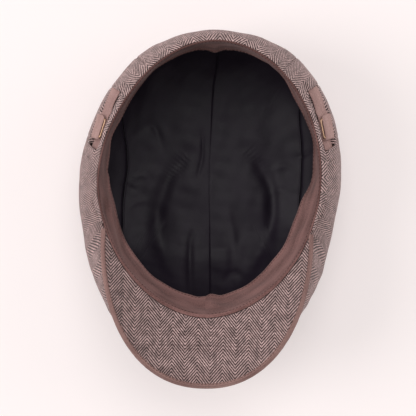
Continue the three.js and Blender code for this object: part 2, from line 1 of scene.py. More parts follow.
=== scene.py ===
# %% [markdown]
# # A flat cap of herringbone tweed, lying on its crown
#
# The cap is sewn from wool tweed, with a stiff peak, a soft brown sweatband, a black lining and a
# small buckled strap at each side. It lies upside down, so the camera looks straight into it.
# The solids of the packed model come first: they fix where everything sits and how large it is.
# Each cell after that makes one finish or one sewn piece over them.

# %% The packed model
import math

import bmesh
import bpy
import numpy as np
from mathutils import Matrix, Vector


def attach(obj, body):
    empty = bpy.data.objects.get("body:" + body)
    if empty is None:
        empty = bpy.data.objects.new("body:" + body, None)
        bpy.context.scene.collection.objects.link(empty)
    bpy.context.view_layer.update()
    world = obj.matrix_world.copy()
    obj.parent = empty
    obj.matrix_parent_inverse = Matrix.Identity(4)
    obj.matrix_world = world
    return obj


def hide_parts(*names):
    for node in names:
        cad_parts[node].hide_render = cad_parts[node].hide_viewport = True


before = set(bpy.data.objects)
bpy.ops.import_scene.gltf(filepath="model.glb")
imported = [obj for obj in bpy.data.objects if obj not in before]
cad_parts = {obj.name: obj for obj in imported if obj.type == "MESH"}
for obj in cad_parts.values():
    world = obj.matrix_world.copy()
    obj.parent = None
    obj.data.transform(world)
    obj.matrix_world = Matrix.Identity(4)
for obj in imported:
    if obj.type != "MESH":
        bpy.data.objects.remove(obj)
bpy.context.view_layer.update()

# %% [markdown]
# ## The cap's sizes
#
# A hatter starts from the head: 58 cm round here, which makes an oval 164 by 203 mm. The rest is
# how far each piece stands from that oval. The sizes could be read off the solids' boxes, but a
# box says nothing of a curve. So the numbers are those that the solids were cut with, in metres
# and degrees, and the finer meshes below lie on them. The sizes that most pieces share come first.

# %% Shared sizes
HEAD_WIDTH = 0.164
HEAD_LENGTH = 0.203
RIM_HEIGHT = 0.085
RIM_TILT = 8
BACK_BULGE = 0.0115
PEAK_REACH = 0.051
TWEED = 0.0018
SEAM_GAP = 0.0003

CAP_LENGTH = BACK_BULGE + HEAD_LENGTH + PEAK_REACH
HEAD_Y = CAP_LENGTH / 2 - BACK_BULGE - HEAD_LENGTH / 2
RIM_FRONT_Y = HEAD_Y - HEAD_LENGTH / 2
TIP_Y = -CAP_LENGTH / 2
PEAK_BASE = RIM_HEIGHT - math.tan(math.radians(RIM_TILT)) * HEAD_LENGTH / 2
print(f"The cap is {CAP_LENGTH * 1000:.1f} mm long, the opening's middle is at y {HEAD_Y:.4f} m")

# %% [markdown]
# ## Shader maths
#
# A weave is arithmetic: which yarn lies on top depends on whole numbers counted along and across
# the cloth. The nodes could be placed and linked one by one, but forty Math nodes say little to a
# reader. A small class lets the arithmetic be written as Python expressions instead, and each
# operator adds the Math node that does it. Every other node comes from one method of a finish.


# %% A socket that can be calculated with
class Wire:
    """A node's output. Sums and products of wires are Math nodes."""

    def __init__(self, tree, socket):
        self.tree = tree
        self.socket = socket

    def maths(self, operation, *values, first=None):
        node = self.tree.nodes.new("ShaderNodeMath")
        node.operation = operation
        for slot, value in zip(node.inputs, (self if first is None else first, *values)):
            feed(self.tree, slot, value)
        return Wire(self.tree, node.outputs[0])

    def __add__(self, other):
        return self.maths("ADD", other)

    __radd__ = __add__

    def __mul__(self, other):
        return self.maths("MULTIPLY", other)

    __rmul__ = __mul__

    def __sub__(self, other):
        return self.maths("SUBTRACT", other)

    def __rsub__(self, other):
        return self.maths("SUBTRACT", self, first=other)

    def __truediv__(self, other):
        return self.maths("DIVIDE", other)

    def __rtruediv__(self, other):
        return self.maths("DIVIDE", self, first=other)

    def __mod__(self, other):
        return self.maths("FLOORED_MODULO", other)

    def __pow__(self, other):
        return self.maths("POWER", other)

    def __lt__(self, other):
        return self.maths("LESS_THAN", other)

    def __abs__(self):
        return self.maths("ABSOLUTE")

    def floor(self):
        return self.maths("FLOOR")

    def fraction(self):
        return self.maths("FRACT")


def feed(tree, slot, value):
    """Links a wire to a socket, or sets the socket to a number or colour."""
    if isinstance(value, Wire):
        tree.links.new(value.socket, slot)
    elif isinstance(value, tuple) and len(value) == 3 and slot.type == "RGBA":
        slot.default_value = (*value, 1.0)
    else:
        slot.default_value = value


print("A wire knows", sum(callable(part) for part in vars(Wire).values()), "operations")


# %% A finish
class Finish:
    """A material. Constants go straight onto its shader, wires are linked to it."""

    def __init__(self, name, **constants):
        self.material = bpy.data.materials.new(name)
        self.material.use_nodes = True
        self.tree = self.material.node_tree
        self.shader = self.tree.nodes["Principled BSDF"]
        self.wear(**constants)

    def wear(self, **sockets):
        """Sets or links sockets of the shader. What changes over the surface comes as wires."""
        for socket, value in sockets.items():
            feed(self.tree, self.shader.inputs[socket.replace("_", " ")], value)
        return self.material

    def node(self, kind, settings=None, inputs=None, output=0):
        """Any node but a Math node: its settings first, then its sockets' values or links."""
        node = self.tree.nodes.new(kind)
        for name, value in (settings or {}).items():
            setattr(node, name, value)
        for name, value in (inputs or {}).items():
            feed(self.tree, node.inputs[name], value)
        return Wire(self.tree, node.outputs[output])

    def blend(self, share, low, high):
        """A colour between two others. Inputs 6 and 7 of a Mix node are its colours A and B."""
        inputs = {0: share, 6: low, 7: high}
        return self.node("ShaderNodeMix", {"data_type": "RGBA"}, inputs, output=2)

    def cloth_place(self):
        """Three wires: a place on the cloth, metres across the cloth and metres along it."""
        place = self.node("ShaderNodeUVMap", {"uv_map": "Cloth"})
        across = self.node("ShaderNodeSeparateXYZ", None, {0: place})
        return place, across, Wire(self.tree, across.socket.node.outputs[1])

    def stretched(self, place, across, along):
        """A place whose noise is drawn out along the axis with the smaller number."""
        inputs = {0: place, 1: (across, along, 1.0)}
        return self.node("ShaderNodeVectorMath", {"operation": "MULTIPLY"}, inputs)

    def noise(self, place, scale, detail=2.0, dimensions="2D"):
        settings = {"noise_dimensions": dimensions}
        inputs = {"Vector": place, "Scale": scale, "Detail": detail}
        return self.node("ShaderNodeTexNoise", settings, inputs)

    def one_each(self, number):
        """A random share for each whole number, such as a yarn's."""
        settings = {"noise_dimensions": "1D"}
        return self.node("ShaderNodeTexWhiteNoise", settings, {"W": number})

    def spread(self, value, low, high, to_low=0.0, to_high=1.0):
        inputs = {"Value": value, "From Min": low, "From Max": high, "To Min": to_low,
                  "To Max": to_high}
        return self.node("ShaderNodeMapRange", None, inputs)

    def relief(self, height, depth, strength):
        inputs = {"Height": height, "Distance": depth, "Strength": strength}
        return self.node("ShaderNodeBump", None, inputs)


def paint(red, green, blue):
    """A colour as seen on a screen, from 0 to 255, as linear light."""
    shares = (red / 255, green / 255, blue / 255)
    return tuple(c / 12.92 if c <= 0.04045 else ((c + 0.055) / 1.055) ** 2.4 for c in shares)


print("A mid grey on the screen is", round(paint(128, 128, 128)[0], 3), "as linear light")

# %% [markdown]
# ## Herringbone tweed
#
# Herringbone is a 2 and 2 twill. Each weft yarn passes over two warp yarns and under two, one step
# further along at each row, which draws slanting ribs. After 18 warp yarns the step turns round,
# so the ribs meet in a chevron. Zigzag stripes would do from far off, but up close they show no
# yarns, so the finish counts yarns as a loom does: whole numbers across and along the cloth say
# which yarn is on top, and the fractions say where on its round back a point lies. Dark warp and
# pale weft give the two colours, and each yarn gets a shade of its own.

# %% The tweed
YARN_ACROSS = 0.0005175
YARN_ALONG = 0.00062
YARNS_IN_RIB = 18
YARNS_IN_TWILL = 4
YARNS_ASTRAY = 0.8
YARNS_BLURRED = 0.5
WEAVE_DEPTH = 0.00022
DARK_YARNS = (paint(16, 6, 8), paint(46, 25, 27))
PALE_YARNS = (paint(171, 140, 137), paint(227, 196, 192))


def make_tweed():
    tweed = Finish("tweed", Roughness=0.95, Sheen_Weight=0.42, Sheen_Roughness=0.55,
                   Sheen_Tint=(1.0, 0.84, 0.83), Specular_IOR_Level=0.1)
    place, across, along = tweed.cloth_place()
    fuzz = tweed.noise(place, 1400.0, 3.0)
    drift = tweed.noise(place, 55.0)
    wander = (drift - 0.5) * YARNS_ASTRAY
    warp = across / YARN_ACROSS + wander + (fuzz - 0.5) * YARNS_BLURRED
    weft = along / YARN_ALONG + wander + (fuzz - 0.5) * YARNS_BLURRED
    step = abs(warp.floor() % (2 * YARNS_IN_RIB) - YARNS_IN_RIB)
    turn = ((weft.floor() + step) / YARNS_IN_TWILL).fraction()
    warp_on_top = turn < 0.5

    warp_shade = tweed.one_each(warp.floor())
    weft_shade = tweed.one_each(weft.floor() + 0.37)
    slub = tweed.noise(tweed.stretched(place, 1.0, 0.35), 420.0, 3.0)
    blotch = tweed.noise(place, 170.0, 3.0)
    dark = tweed.blend(warp_shade * 0.5 + fuzz * 0.5, *DARK_YARNS)
    pale = tweed.blend(weft_shade * 0.5 + fuzz * 0.5, *PALE_YARNS)
    shade = tweed.spread(slub * 0.5 + blotch * 0.5, 0.36, 0.64, 0.6, 1.24)
    inputs = {0: tweed.blend(warp_on_top, pale, dark), "Scale": shade}
    cloth = tweed.node("ShaderNodeVectorMath", {"operation": "SCALE"}, inputs)

    warp_back = 1 - (warp.fraction() * 2 - 1) ** 2
    weft_back = 1 - (weft.fraction() * 2 - 1) ** 2
    height = warp_on_top * warp_back + (1 - warp_on_top) * weft_back * 1.2 + fuzz * 0.8
    return tweed.wear(Base_Color=cloth, Normal=tweed.relief(height, WEAVE_DEPTH, 0.9))


TWEED_FINISH = make_tweed()
print("Tweed ribs are", round(YARNS_IN_RIB * YARN_ACROSS * 1000, 1), "mm wide")

# %% [markdown]
# ## Suede
#
# The sweatband, binding and straps are a soft brown suede cloth: matt, with a fine nap that is
# paler where it has been rubbed. One plain brown would look like plastic, and a painted picture of
# nap would blur close up. So two noises are mixed: a fine even one for the nap, and one drawn out
# along the strip for the marks of rubbing. The sewing thread is the same finish with a finer grain
# and a darker brown.

# %% The suede and the thread
HALF_BAND = 0.29
TURNED_EDGE = 0.0038
NAP_DEPTH = 0.00012


def make_suede(name, dark, pale, grain=900.0, front_lit_back_shaded=0.0, turned_edge_shade=0.0):
    """On the sweatband, painted light makes the front paler, and painted shade makes the back and
    the turned edge darker.
    """
    suede = Finish(name, Roughness=0.85, Sheen_Weight=0.1, Sheen_Roughness=0.5,
                   Specular_IOR_Level=0.12)
    place, across, along = suede.cloth_place()
    nap = suede.noise(place, grain, 4.0)
    rub = suede.noise(suede.stretched(place, 0.3, 1.0), 100.0, 3.0)
    # Painted light and shade: paler in front, darker at the back, and darker along the turned edge.
    painted_light_and_shade = (abs(across / HALF_BAND - 1) - 0.5) * front_lit_back_shaded - (along < TURNED_EDGE) * turned_edge_shade
    share = suede.spread(nap * 0.45 + rub * 0.55 + painted_light_and_shade, 0.34, 0.66)
    colour = suede.blend(share, dark, pale)
    return suede.wear(Base_Color=colour, Normal=suede.relief(nap, NAP_DEPTH, 0.8))


# The sweatband's colour holds painted light in front, and painted shade at the back and along its
# turned edge.
SUEDE_FINISH = make_suede("suede", paint(98, 69, 66), paint(149, 111, 107), front_lit_back_shaded=0.22,
                          turned_edge_shade=0.13)
BINDING_FINISH = make_suede("binding_suede", paint(121, 92, 88), paint(154, 123, 117))
STRAP_FINISH = make_suede("strap_suede", paint(150, 119, 115), paint(186, 153, 147))
THREAD_FINISH = make_suede("thread", paint(66, 42, 41), paint(92, 62, 60), 3000.0)
print("The nap is", round(NAP_DEPTH * 1e6), "thousandths of a millimetre deep")

# %% [markdown]
# ## Satin
#
# The lining is a black satin. Its long floats, where one thread passes over many, lie side by side
# and catch soft light. Black alone would be a hole in the picture, so the finish keeps a violet
# cast, a little cloudiness, and a relief of threads and floats. The threads could be modelled, but
# there are 36 to a centimetre.

# %% The satin
SATIN_THREAD = 0.00028
SATIN_FLOAT = 0.0011
SATIN_DEPTH = 0.00004


def make_lining():
    satin = Finish("lining", Sheen_Weight=0.02, Sheen_Roughness=0.4, Specular_IOR_Level=0.25)
    place, across, along = satin.cloth_place()
    thread = across / SATIN_THREAD
    threads = thread.fraction()
    floats = (along / SATIN_FLOAT + thread.floor() * 0.4).fraction()
    cloud = satin.noise(place, 60.0, 4.0)
    colour = satin.blend(cloud, paint(19, 14, 24), paint(30, 23, 34))
    height = threads * (1 - threads) * 4 + floats * 0.5 + cloud * 2
    bump = satin.relief(height, SATIN_DEPTH, 0.45)
    return satin.wear(Base_Color=colour, Roughness=cloud * 0.14 + 0.46, Normal=bump)


LINING_FINISH = make_lining()
print("The satin has", round(0.01 / SATIN_THREAD), "threads to a centimetre")

# %% [markdown]
# ## Brass
#
# The buckles are brass. A metal takes its colour from its reflections, so a plain yellow would
# look like paint. Fine marks of polishing in the roughness and the relief break the reflections
# up, and spots of tarnish vary the colour a little.

# %% The brass
POLISHING_DEPTH = 0.00002


def make_brass():
    brass = Finish("brass", Metallic=1.0)
    place = brass.cloth_place()[0]
    marks = brass.noise(place, 4000.0, 3.0)
    tarnish = brass.noise(place, 300.0)
    colour = brass.blend(tarnish, paint(177, 142, 116), paint(209, 175, 148))
    bump = brass.relief(marks, POLISHING_DEPTH, 0.5)
    return brass.wear(Base_Color=colour, Roughness=marks * 0.2 + 0.22, Normal=bump)


BRASS_FINISH = make_brass()
print("Finishes:", ", ".join(material.name for material in bpy.data.materials))

# %% [markdown]
# ## Curves that the cap is cut on
#
# Round the cap runs an angle, 0 at +X and 90 at the back. Down it runs a station: 0 at the mouth,
# 1 at the widest line, 2 at the edge of the flat that the cap rests on, and 3 at that flat's
# middle. The pieces could be sculpted one by one, but then each would have to be fitted to its
# neighbours. Cut from the same curves, they meet by themselves. The functions take whole arrays
# of angles, so that a piece of thousands of points is worked out at once.


# %% Small helpers
def mix(a, b, k):
    return a + (b - a) * k


def smooth(low, high, x):
    k = np.clip((x - low) / (high - low), 0, 1)
    return k * k * (3 - 2 * k)


def power(v, exponent):
    return np.sign(v) * np.abs(v) ** exponent


def cosine(deg):
    return np.cos(np.radians(deg))


def sine(deg):
    return np.sin(np.radians(deg))


def folded(deg):
    """The same angle on the right-hand side, from -90 at the front to 90 at the back."""
    return np.degrees(np.arcsin(np.clip(sine(deg), -1, 1)))


def stack(x, y, z):
    return np.stack(np.broadcast_arrays(x, y, z), axis=-1).astype(float)


def unit(v):
    return v / np.maximum(np.linalg.norm(v, axis=-1, keepdims=True), 1e-12)


def circle(count):
    """Angles evenly spaced round a full turn, in radians."""
    return np.radians(np.linspace(0, 360, count + 1))[:-1]


MIRROR = np.array([-1, 1, 1])


def mirrored(points, out):
    """The same patch and its normals on the other side of the cap."""
    return points[:, ::-1] * MIRROR, out[:, ::-1] * MIRROR


print("210 degrees is folded to", round(float(folded(210.0)), 1))

# %% Slow random waves
WAVES = 10
WAVE_CREST = 1.6


def sway(points, size, seed):
    """A smooth random number from about -1 to 1 at each point. Its waves are size metres long."""
    rng = np.random.default_rng(seed)
    total = 0
    for _ in range(WAVES):
        direction = unit(rng.normal(size=3)) * (2 * math.pi / size) * rng.uniform(0.6, 1.5)
        total = total + np.sin(points @ direction + rng.uniform(0, 2 * math.pi))
    return total / math.sqrt(WAVES / 2) / WAVE_CREST


print("A wave at the origin:", round(float(sway(np.zeros((1, 3)), 0.03, 1)[0]), 3))

# %% The rim
HEAD_SQUARENESS = 1.9
PEAK_PITCH = 14
PEAK_RISE = math.tan(math.radians(PEAK_PITCH))
PEAK_RADIUS = 0.120
PEAK_THICKNESS = 0.003
PEAK_END = 23


def peak_z(x, y):
    return PEAK_BASE - PEAK_RISE * (y - RIM_FRONT_Y) + x * x / (2 * PEAK_RADIUS)


def peak_normal(p):
    return unit(stack(-p[..., 0] / PEAK_RADIUS, PEAK_RISE, 1.0))


def rim_plan(deg):
    exponent = 2 / HEAD_SQUARENESS
    x = HEAD_WIDTH / 2 * power(cosine(deg), exponent)
    return stack(x, HEAD_Y + HEAD_LENGTH / 2 * power(sine(deg), exponent), 0)


def rim(deg):
    p = rim_plan(deg)
    flat = RIM_HEIGHT + math.tan(math.radians(RIM_TILT)) * (p[..., 1] - HEAD_Y)
    top = peak_z(p[..., 0], p[..., 1]) + PEAK_THICKNESS / 2 + SEAM_GAP
    p[..., 2] = mix(flat, top, smooth(-PEAK_END + 9, -PEAK_END - 9, folded(deg)))
    return p


def outward(deg):
    along = rim_plan(deg + 0.5) - rim_plan(deg - 0.5)
    return unit(stack(along[..., 1], -along[..., 0], 0))


print("The rim's front is", round(float(rim(np.array(-90.0))[2]) * 1000, 1), "mm up")

# %% The peak's edge, and places on the peak
PEAK_SIDE = 0.0026
PEAK_SQUARENESS = 2.2


def outline(deg):
    """The peak's edge, matched to the angle round the opening."""
    turn = np.clip((-PEAK_END - folded(deg)) / (90 - PEAK_END), 0, 1) * 90
    side = np.where(cosine(deg) < -1e-9, -1, 1)
    exponent = 2 / PEAK_SQUARENESS
    end = rim_plan(np.array(-PEAK_END))
    x = side * (end[0] + PEAK_SIDE) * power(np.maximum(0, cosine(turn)), exponent)
    return stack(x, end[1] - (end[1] - TIP_Y) * power(sine(turn), exponent), 0)


def peak_depth(deg):
    return np.linalg.norm(outline(deg) - rim_plan(deg), axis=-1)


def on_peak(deg, inset):
    share = (inset / peak_depth(deg))[..., None]
    p = mix(outline(deg), rim_plan(deg), share)
    p[..., 2] = peak_z(p[..., 0], p[..., 1])
    return p


print("The peak is", round(float(peak_depth(np.array(-90.0))) * 1000, 1), "mm deep")

# %% How the rim's band narrows towards the peak
RIM_BAND_HEIGHT = 0.010
RIM_BAND_FLARE = 0.0045
BAND_NARROWEST = 0.2


def band_share(deg):
    return mix(BAND_NARROWEST, 1, smooth(-PEAK_END + 1, -PEAK_END + 15, folded(deg)))


def band_flare(deg):
    return np.maximum(TWEED + SEAM_GAP, RIM_BAND_FLARE * band_share(deg))


print("The band stands out", round(float(band_flare(90.0)) * 1000, 1), "mm at the back")

# %% [markdown]
# ## The crown's profiles
#
# Cut the crown from its mouth down, at any angle, and the cut is a soft S: out to the widest line,
# then in to the flat. Two Bezier curves and a straight line draw it from three points and the
# directions there. Rings of vertices could be scaled by hand to the same end, but a curve can be
# asked for any angle and any station, as finely as a piece needs.

# %% The crown's mouth
FRONT_SETBACK = 0.0105
FRONT_TUCK = 0.0015
BINDING_WIDTH = 0.0034
BINDING_MARGIN = 0.0012
BINDING_THICKNESS = 0.0009


def crown_mouth(deg):
    from_rim = rim(deg) + outward(deg) * band_flare(deg)[..., None]
    from_rim[..., 2] -= RIM_BAND_HEIGHT * band_share(deg) + SEAM_GAP
    ahead = np.clip((-PEAK_END - folded(deg)) / (90 - PEAK_END), 0, 1)
    at_side = BINDING_WIDTH + BINDING_MARGIN
    sewn_in = mix(at_side, FRONT_SETBACK + FRONT_TUCK, smooth(0.2, 1, ahead))
    from_peak = on_peak(deg, np.minimum(sewn_in, peak_depth(deg) * 0.8))
    under = SEAM_GAP + BINDING_THICKNESS * (1 - smooth(0.3, 0.8, ahead))
    from_peak[..., 2] -= PEAK_THICKNESS / 2 + under
    share = smooth(-PEAK_END + 8, -PEAK_END - 5, folded(deg))[..., None]
    return mix(from_rim, from_peak, share)


print("The mouth's back is at", crown_mouth(np.array(90.0)).round(4))

# %% The widest line, and the edge of the flat
SIDE_BULGE = 0.017
WIDEST_AT_SIDE = 0.47
WIDEST_MORE_BEHIND = 0.12
WIDEST_AHEAD = 0.8
FLAT_WIDTH = 0.104
FLAT_LENGTH = 0.118
FLAT_FORWARD = -0.004


def frontness(deg):
    return smooth(0.25, 1, -sine(deg))


def crown_widest(deg):
    back = HEAD_LENGTH / 2 + BACK_BULGE
    front = HEAD_Y - TIP_Y - FRONT_SETBACK
    backness = np.maximum(0, sine(deg)) ** 2
    z = RIM_HEIGHT * mix(WIDEST_AT_SIDE + WIDEST_MORE_BEHIND * backness, WIDEST_AHEAD,
                         frontness(deg))
    reach = np.where(sine(deg) > 0, back, front)
    return stack((HEAD_WIDTH / 2 + SIDE_BULGE) * cosine(deg), HEAD_Y + reach * sine(deg), z)


def resting_edge(deg, inset=0.0, z=0.0):
    x = (FLAT_WIDTH / 2 - inset) * cosine(deg)
    return stack(x, HEAD_Y - FLAT_FORWARD + (FLAT_LENGTH / 2 - inset) * sine(deg), z)


print("The widest line's back is at", crown_widest(np.array(90.0)).round(4))

# %% A profile between them
PULL_AT_WIDEST = 0.36
PULL_DOWN = (0.6, 0.22)  # at the side and in front
PULL_IN = (0.52, 0.33)  # at the side and in front
CROWN_FLARE = 0.55
FLARE_MORE_AHEAD = 0.2


def bezier(a, b, c, d, k):
    m = 1 - k
    return a * m**3 + b * 3 * m * m * k + c * 3 * m * k * k + d * k**3


def profile(mouth, widest, floor, flare, deg, station):
    k = station[..., None]
    reach = np.linalg.norm(mouth - widest, axis=-1)[..., None] * PULL_AT_WIDEST
    down = np.array([0, 0, -1.0])
    leave = mouth + reach * (outward(deg) * flare + down * np.sqrt(1 - flare**2))
    upper = bezier(mouth, leave, widest - down * reach, widest, np.clip(k, 0, 1))
    front = frontness(deg)[..., None]
    drop = (widest - floor)[..., 2:] * mix(*PULL_DOWN, front)
    beside = widest.copy()
    beside[..., 2] = floor[..., 2]
    run = mix(floor, beside, mix(*PULL_IN, front))
    lower = bezier(widest, widest + down * drop, run, floor, np.clip(k - 1, 0, 1))
    centre = stack(0, HEAD_Y - FLAT_FORWARD, floor[..., 2])
    bottom = mix(floor, centre, np.clip(k - 2, 0, 1))
    return np.where(k < 1, upper, np.where(k < 2, lower, bottom))


def crown_flare(deg):
    """How steeply the crown leaves its mouth: sin of the angle from straight down."""
    return (CROWN_FLARE + FLARE_MORE_AHEAD * smooth(-2, -14, folded(deg)))[..., None]


def crown(deg, station):
    ends = crown_mouth(deg), crown_widest(deg), resting_edge(deg)
    return profile(*ends, crown_flare(deg), deg, station)


def normals(surface, deg, station):
    """Unit normals that point out of the cap."""
    s = np.minimum(station, 2.6)
    around = surface(deg + 0.4, s) - surface(deg - 0.4, s)
    down = surface(deg, s + 0.02) - surface(deg, np.maximum(0, s - 0.02))
    return unit(np.cross(down, around))


print("Crown at the back, widest:", crown(np.array([90.0]), np.array([1.0]))[0].round(4))

# %% [markdown]
# ## The strap's lane and the lining
#
# At each side the cloth is sunk between two slits, and the strap lies in that lane. The slits and
# the lane are lines on the crown's own curves, so the panels, the strap and the buckle can all ask
# where they run. The lining is one more loft inside the crown, drawn by the same profile function.

# %% The lane between the slits
REAR_SLIT = 37
FRONT_SLIT = 11.5
FRONT_SLIT_SLANT = 5.6
LANE_REAR = 0.36
LANE_FRONT = 0.23
LANE_HALF = 0.165
LANE_WALL = 0.075
LANE_TILT = 0.19
LANE_PIVOT = -0.002
STRAP_RECESS = 0.003
STRAP_HOLLOW = 0.0028


def front_slit(station):
    return FRONT_SLIT + FRONT_SLIT_SLANT * station


def rear_slit(station):
    return REAR_SLIT + 0 * station


def lane_station(share):
    return mix(LANE_REAR, LANE_FRONT, share)


def lane_share(deg):
    """How far along the strap's lane an angle lies, 0 at the rear slit and 1 at the front."""
    return (REAR_SLIT - np.abs(folded(deg))) / (REAR_SLIT - front_slit(LANE_FRONT))


def in_lane(share, station):
    away = np.abs(station - lane_station(np.clip(share, 0, 1)))
    return smooth(LANE_HALF + LANE_WALL, LANE_HALF, away)


def recess(share):
    return STRAP_RECESS + STRAP_HOLLOW * smooth(0.15, 0.65, share) * smooth(1.1, 0.8, share)


def lane_tilt(share, across):
    """How far the lane's cloth and strap stand up at their lower edge."""
    return LANE_TILT * mix(1, 0.5, np.clip(share, 0, 1)) * (across - LANE_PIVOT)


def beside_lane(deg, full_from, full_to):
    """1 beside the lane's middle, and 0 past both its ends."""
    share = lane_share(deg)
    return smooth(-0.1, full_from, share) * smooth(1.15, full_to, share) * (sine(deg) > 0)


print("The lane reaches from", REAR_SLIT, "to", round(front_slit(LANE_FRONT), 1), "degrees")

# %% The lining inside the crown
LINING_CLEARANCE = 0.0004
LINING_SLACK = 0.0047
LINING_EDGE_DOWN = 0.0024
LINING_EDGE_OUT = 0.0011
LINING_FRONT_OUT = 0.0055
LINING_LANE_IN = 0.0028
LINING_CORNER = 0.004
LINING_WIDEST = (0.94, 0.66)  # share of the crown's widest height, at the side and in front


def lining(deg, station):
    front = smooth(0.35, 0.9, -sine(deg))
    mouth = rim(deg) + outward(deg) * LINING_EDGE_OUT
    mouth[..., 2] -= RIM_BAND_HEIGHT + LINING_EDGE_DOWN
    widest = crown_widest(deg) - outward(deg) * (TWEED + LINING_SLACK)
    ahead = rim_plan(deg) + outward(deg) * LINING_FRONT_OUT
    for axis in (0, 1):
        widest[..., axis] = mix(widest[..., axis], ahead[..., axis], front)
    widest[..., 2] = crown_widest(deg)[..., 2] * mix(*LINING_WIDEST, front)
    floor = resting_edge(deg, LINING_CORNER, TWEED + LINING_CLEARANCE)
    inwards = LINING_LANE_IN * beside_lane(deg, 0.3, 0.9) * np.exp(-(((station - 0.3) / 0.3) ** 4))
    return profile(mouth, widest, floor, 0.0, deg, station) - outward(deg) * inwards[..., None]


print("The lining's front, widest:", lining(np.array([-90.0]), np.array([1.0]))[0].round(4))

# %% [markdown]
# ## A soft cap that has settled
#
# The solids are the same on both sides. The real cap leans a little to one side and its lower wall
# swells more here than there. A lattice or a sculpting brush could push it, but both would have to
# be repeated for each piece. One function that moves points, used for every piece, keeps
# neighbours together.

# %% How it has settled
SETTLED = (  # angle round the cap, how far its lower wall has swelled out, in metres
    (-180, -0.0006), (-160, -0.0005), (-140, 0.0004), (-90, 0.0), (-40, 0.0), (-28, -0.0010),
    (-12, -0.0007), (0, 0.0003), (15, 0.0014), (30, 0.0024), (45, 0.0030), (60, 0.0034),
    (72, 0.0010), (84, -0.0014), (97, -0.0012), (108, 0.0), (123, 0.0018), (136, 0.0010),
    (150, 0.0), (165, -0.0005), (180, -0.0006),
)


def eased(deg, table):
    """A value from a table of angles, with a soft turn at each row."""
    angles, values = np.array(table).T
    at = np.clip(np.searchsorted(angles, deg, side="left"), 1, len(angles) - 1)
    k = smooth(angles[at - 1], angles[at], deg)
    return mix(values[at - 1], values[at], k)


print("Its wall swells most by", max(row[1] for row in SETTLED) * 1000, "mm")

# %% How its points move
SKEWED = (  # angle round the cap, degrees that its cloth has crept round towards the back
    (-180, 0.0), (-6, 0.0), (12, 2.6), (45, 3.0), (66, 0.0), (180, 0.0),
)
SLUMP = 0.0036
LEANS_BEHIND = (0.005, 0.095)
LEANS_LESS_BESIDE = (0.03, 0.08)
SWELLS_BETWEEN = (0.085, 0.058)
FREE_ABOVE = 0.02
CREEPS_ABOVE = 0.03


def oval(heading):
    """How far from its middle the opening's edge is, in a direction."""
    return 1 / np.hypot(np.cos(heading) * 2 / HEAD_WIDTH, np.sin(heading) * 2 / HEAD_LENGTH)


def slump(points):
    """The back of the cap leans a little to one side, and the wall swells unevenly round it."""
    x, y, z = points[..., 0], points[..., 1] - HEAD_Y, points[..., 2]
    before = np.arctan2(y, x)
    turn = np.radians(eased(np.degrees(before), SKEWED)) * smooth(0, CREEPS_ABOVE, z)
    away = np.hypot(x, y) * oval(before + turn) / oval(before)
    points = stack(away * np.cos(before + turn), HEAD_Y + away * np.sin(before + turn), z)
    x, y = points[..., 0], points[..., 1]
    behind = smooth(*LEANS_BEHIND, y) * mix(1, 0.6, smooth(*LEANS_LESS_BESIDE, x))
    heading = np.arctan2(y - HEAD_Y, x)
    swell = eased(np.degrees(heading), SETTLED) * smooth(*SWELLS_BETWEEN, z)
    raised = smooth(0, FREE_ABOVE, z)
    moved = points.copy()
    moved[..., 0] += (SLUMP * behind + swell * np.cos(heading)) * raised
    moved[..., 1] += swell * np.sin(heading) * raised
    return moved


back = crown(np.array([90.0]), np.array([1.0]))
print("The back has moved", (slump(back) - back)[0].round(4))

# %% [markdown]
# ## Cutting and sewing
#
# A sewn panel is a patch of one of those lofts: a grid of points. Blender could make it from a
# plane with modifiers, but a grid worked out in arrays is exact at its seams, and each corner can
# be given a place on the cloth, in metres, which the weave is drawn in. A cloth simulation would
# tear or swell walls this thin that are sewn on all sides, so seams, swellings and folds are moves
# of those points.


# %% A grid of points as a mesh
def arc(points, axis):
    """Length along the rows (axis 1) or the columns (axis 0) of a grid, from its first point."""
    steps = np.linalg.norm(np.diff(points, axis=axis), axis=2)
    start = np.zeros_like(steps[:, :1] if axis else steps[:1])
    return np.concatenate([start, np.cumsum(steps, axis=axis)], axis=axis)


def pole_fan(cloth, middle, rows, columns, ring):
    """Triangles from a grid's last row to one more point, and the places of their corners."""
    last = (rows - 1) * columns + np.arange(columns)
    fan = np.stack([last, np.full(columns, rows * columns), np.roll(last, -1)], -1)
    fan = fan if ring else fan[:-1]
    count = len(fan)
    places = [cloth[-1, :count], np.tile(middle, (count, 1)), cloth[-1, 1:count + 1]]
    return fan, np.stack(places, 1).reshape(-1, 2)


def new_mesh(name, vertices, loops, counts, place):
    """A mesh from its points, its faces' corners, and each corner's place on the cloth."""
    mesh = bpy.data.meshes.new(name)
    mesh.vertices.add(len(vertices))
    mesh.vertices.foreach_set("co", vertices.reshape(-1))
    mesh.loops.add(len(loops))
    mesh.loops.foreach_set("vertex_index", loops.astype(np.int32))
    mesh.polygons.add(len(counts))
    starts = np.concatenate([[0], np.cumsum(counts)[:-1]])
    mesh.polygons.foreach_set("loop_start", starts.astype(np.int32))
    mesh.update(calc_edges=True)
    mesh.uv_layers.new(name="Cloth").data.foreach_set("uv", place.reshape(-1))
    return mesh


def close_tube(mesh, rows, columns, ring):
    """Closes the two ends of a tube, and turns its faces outwards."""
    work = bmesh.new()
    work.from_mesh(mesh)
    work.verts.ensure_lookup_table()
    for column in () if ring else (0, columns - 1):
        work.faces.new([work.verts[row * columns + column] for row in range(rows)])
    bmesh.ops.recalc_face_normals(work, faces=work.faces)
    work.to_mesh(mesh)
    work.free()


print("A metre in ten steps:", arc(np.linspace([0, 0, 0], [1, 0, 0], 11)[None], 1)[0, -1])

# %% [markdown]
# ## From a mesh to a piece
#
# A piece needs a finish, a body that it moves with, and the name of the solid that it stands for.
# Panels get their thickness from a Solidify modifier, which leaves the grid simple to reason
# about. Its offset of -1 grows the cloth inwards, away from the normals, so the outer face stays
# where the grid is. Bands and straps are closed tubes already.


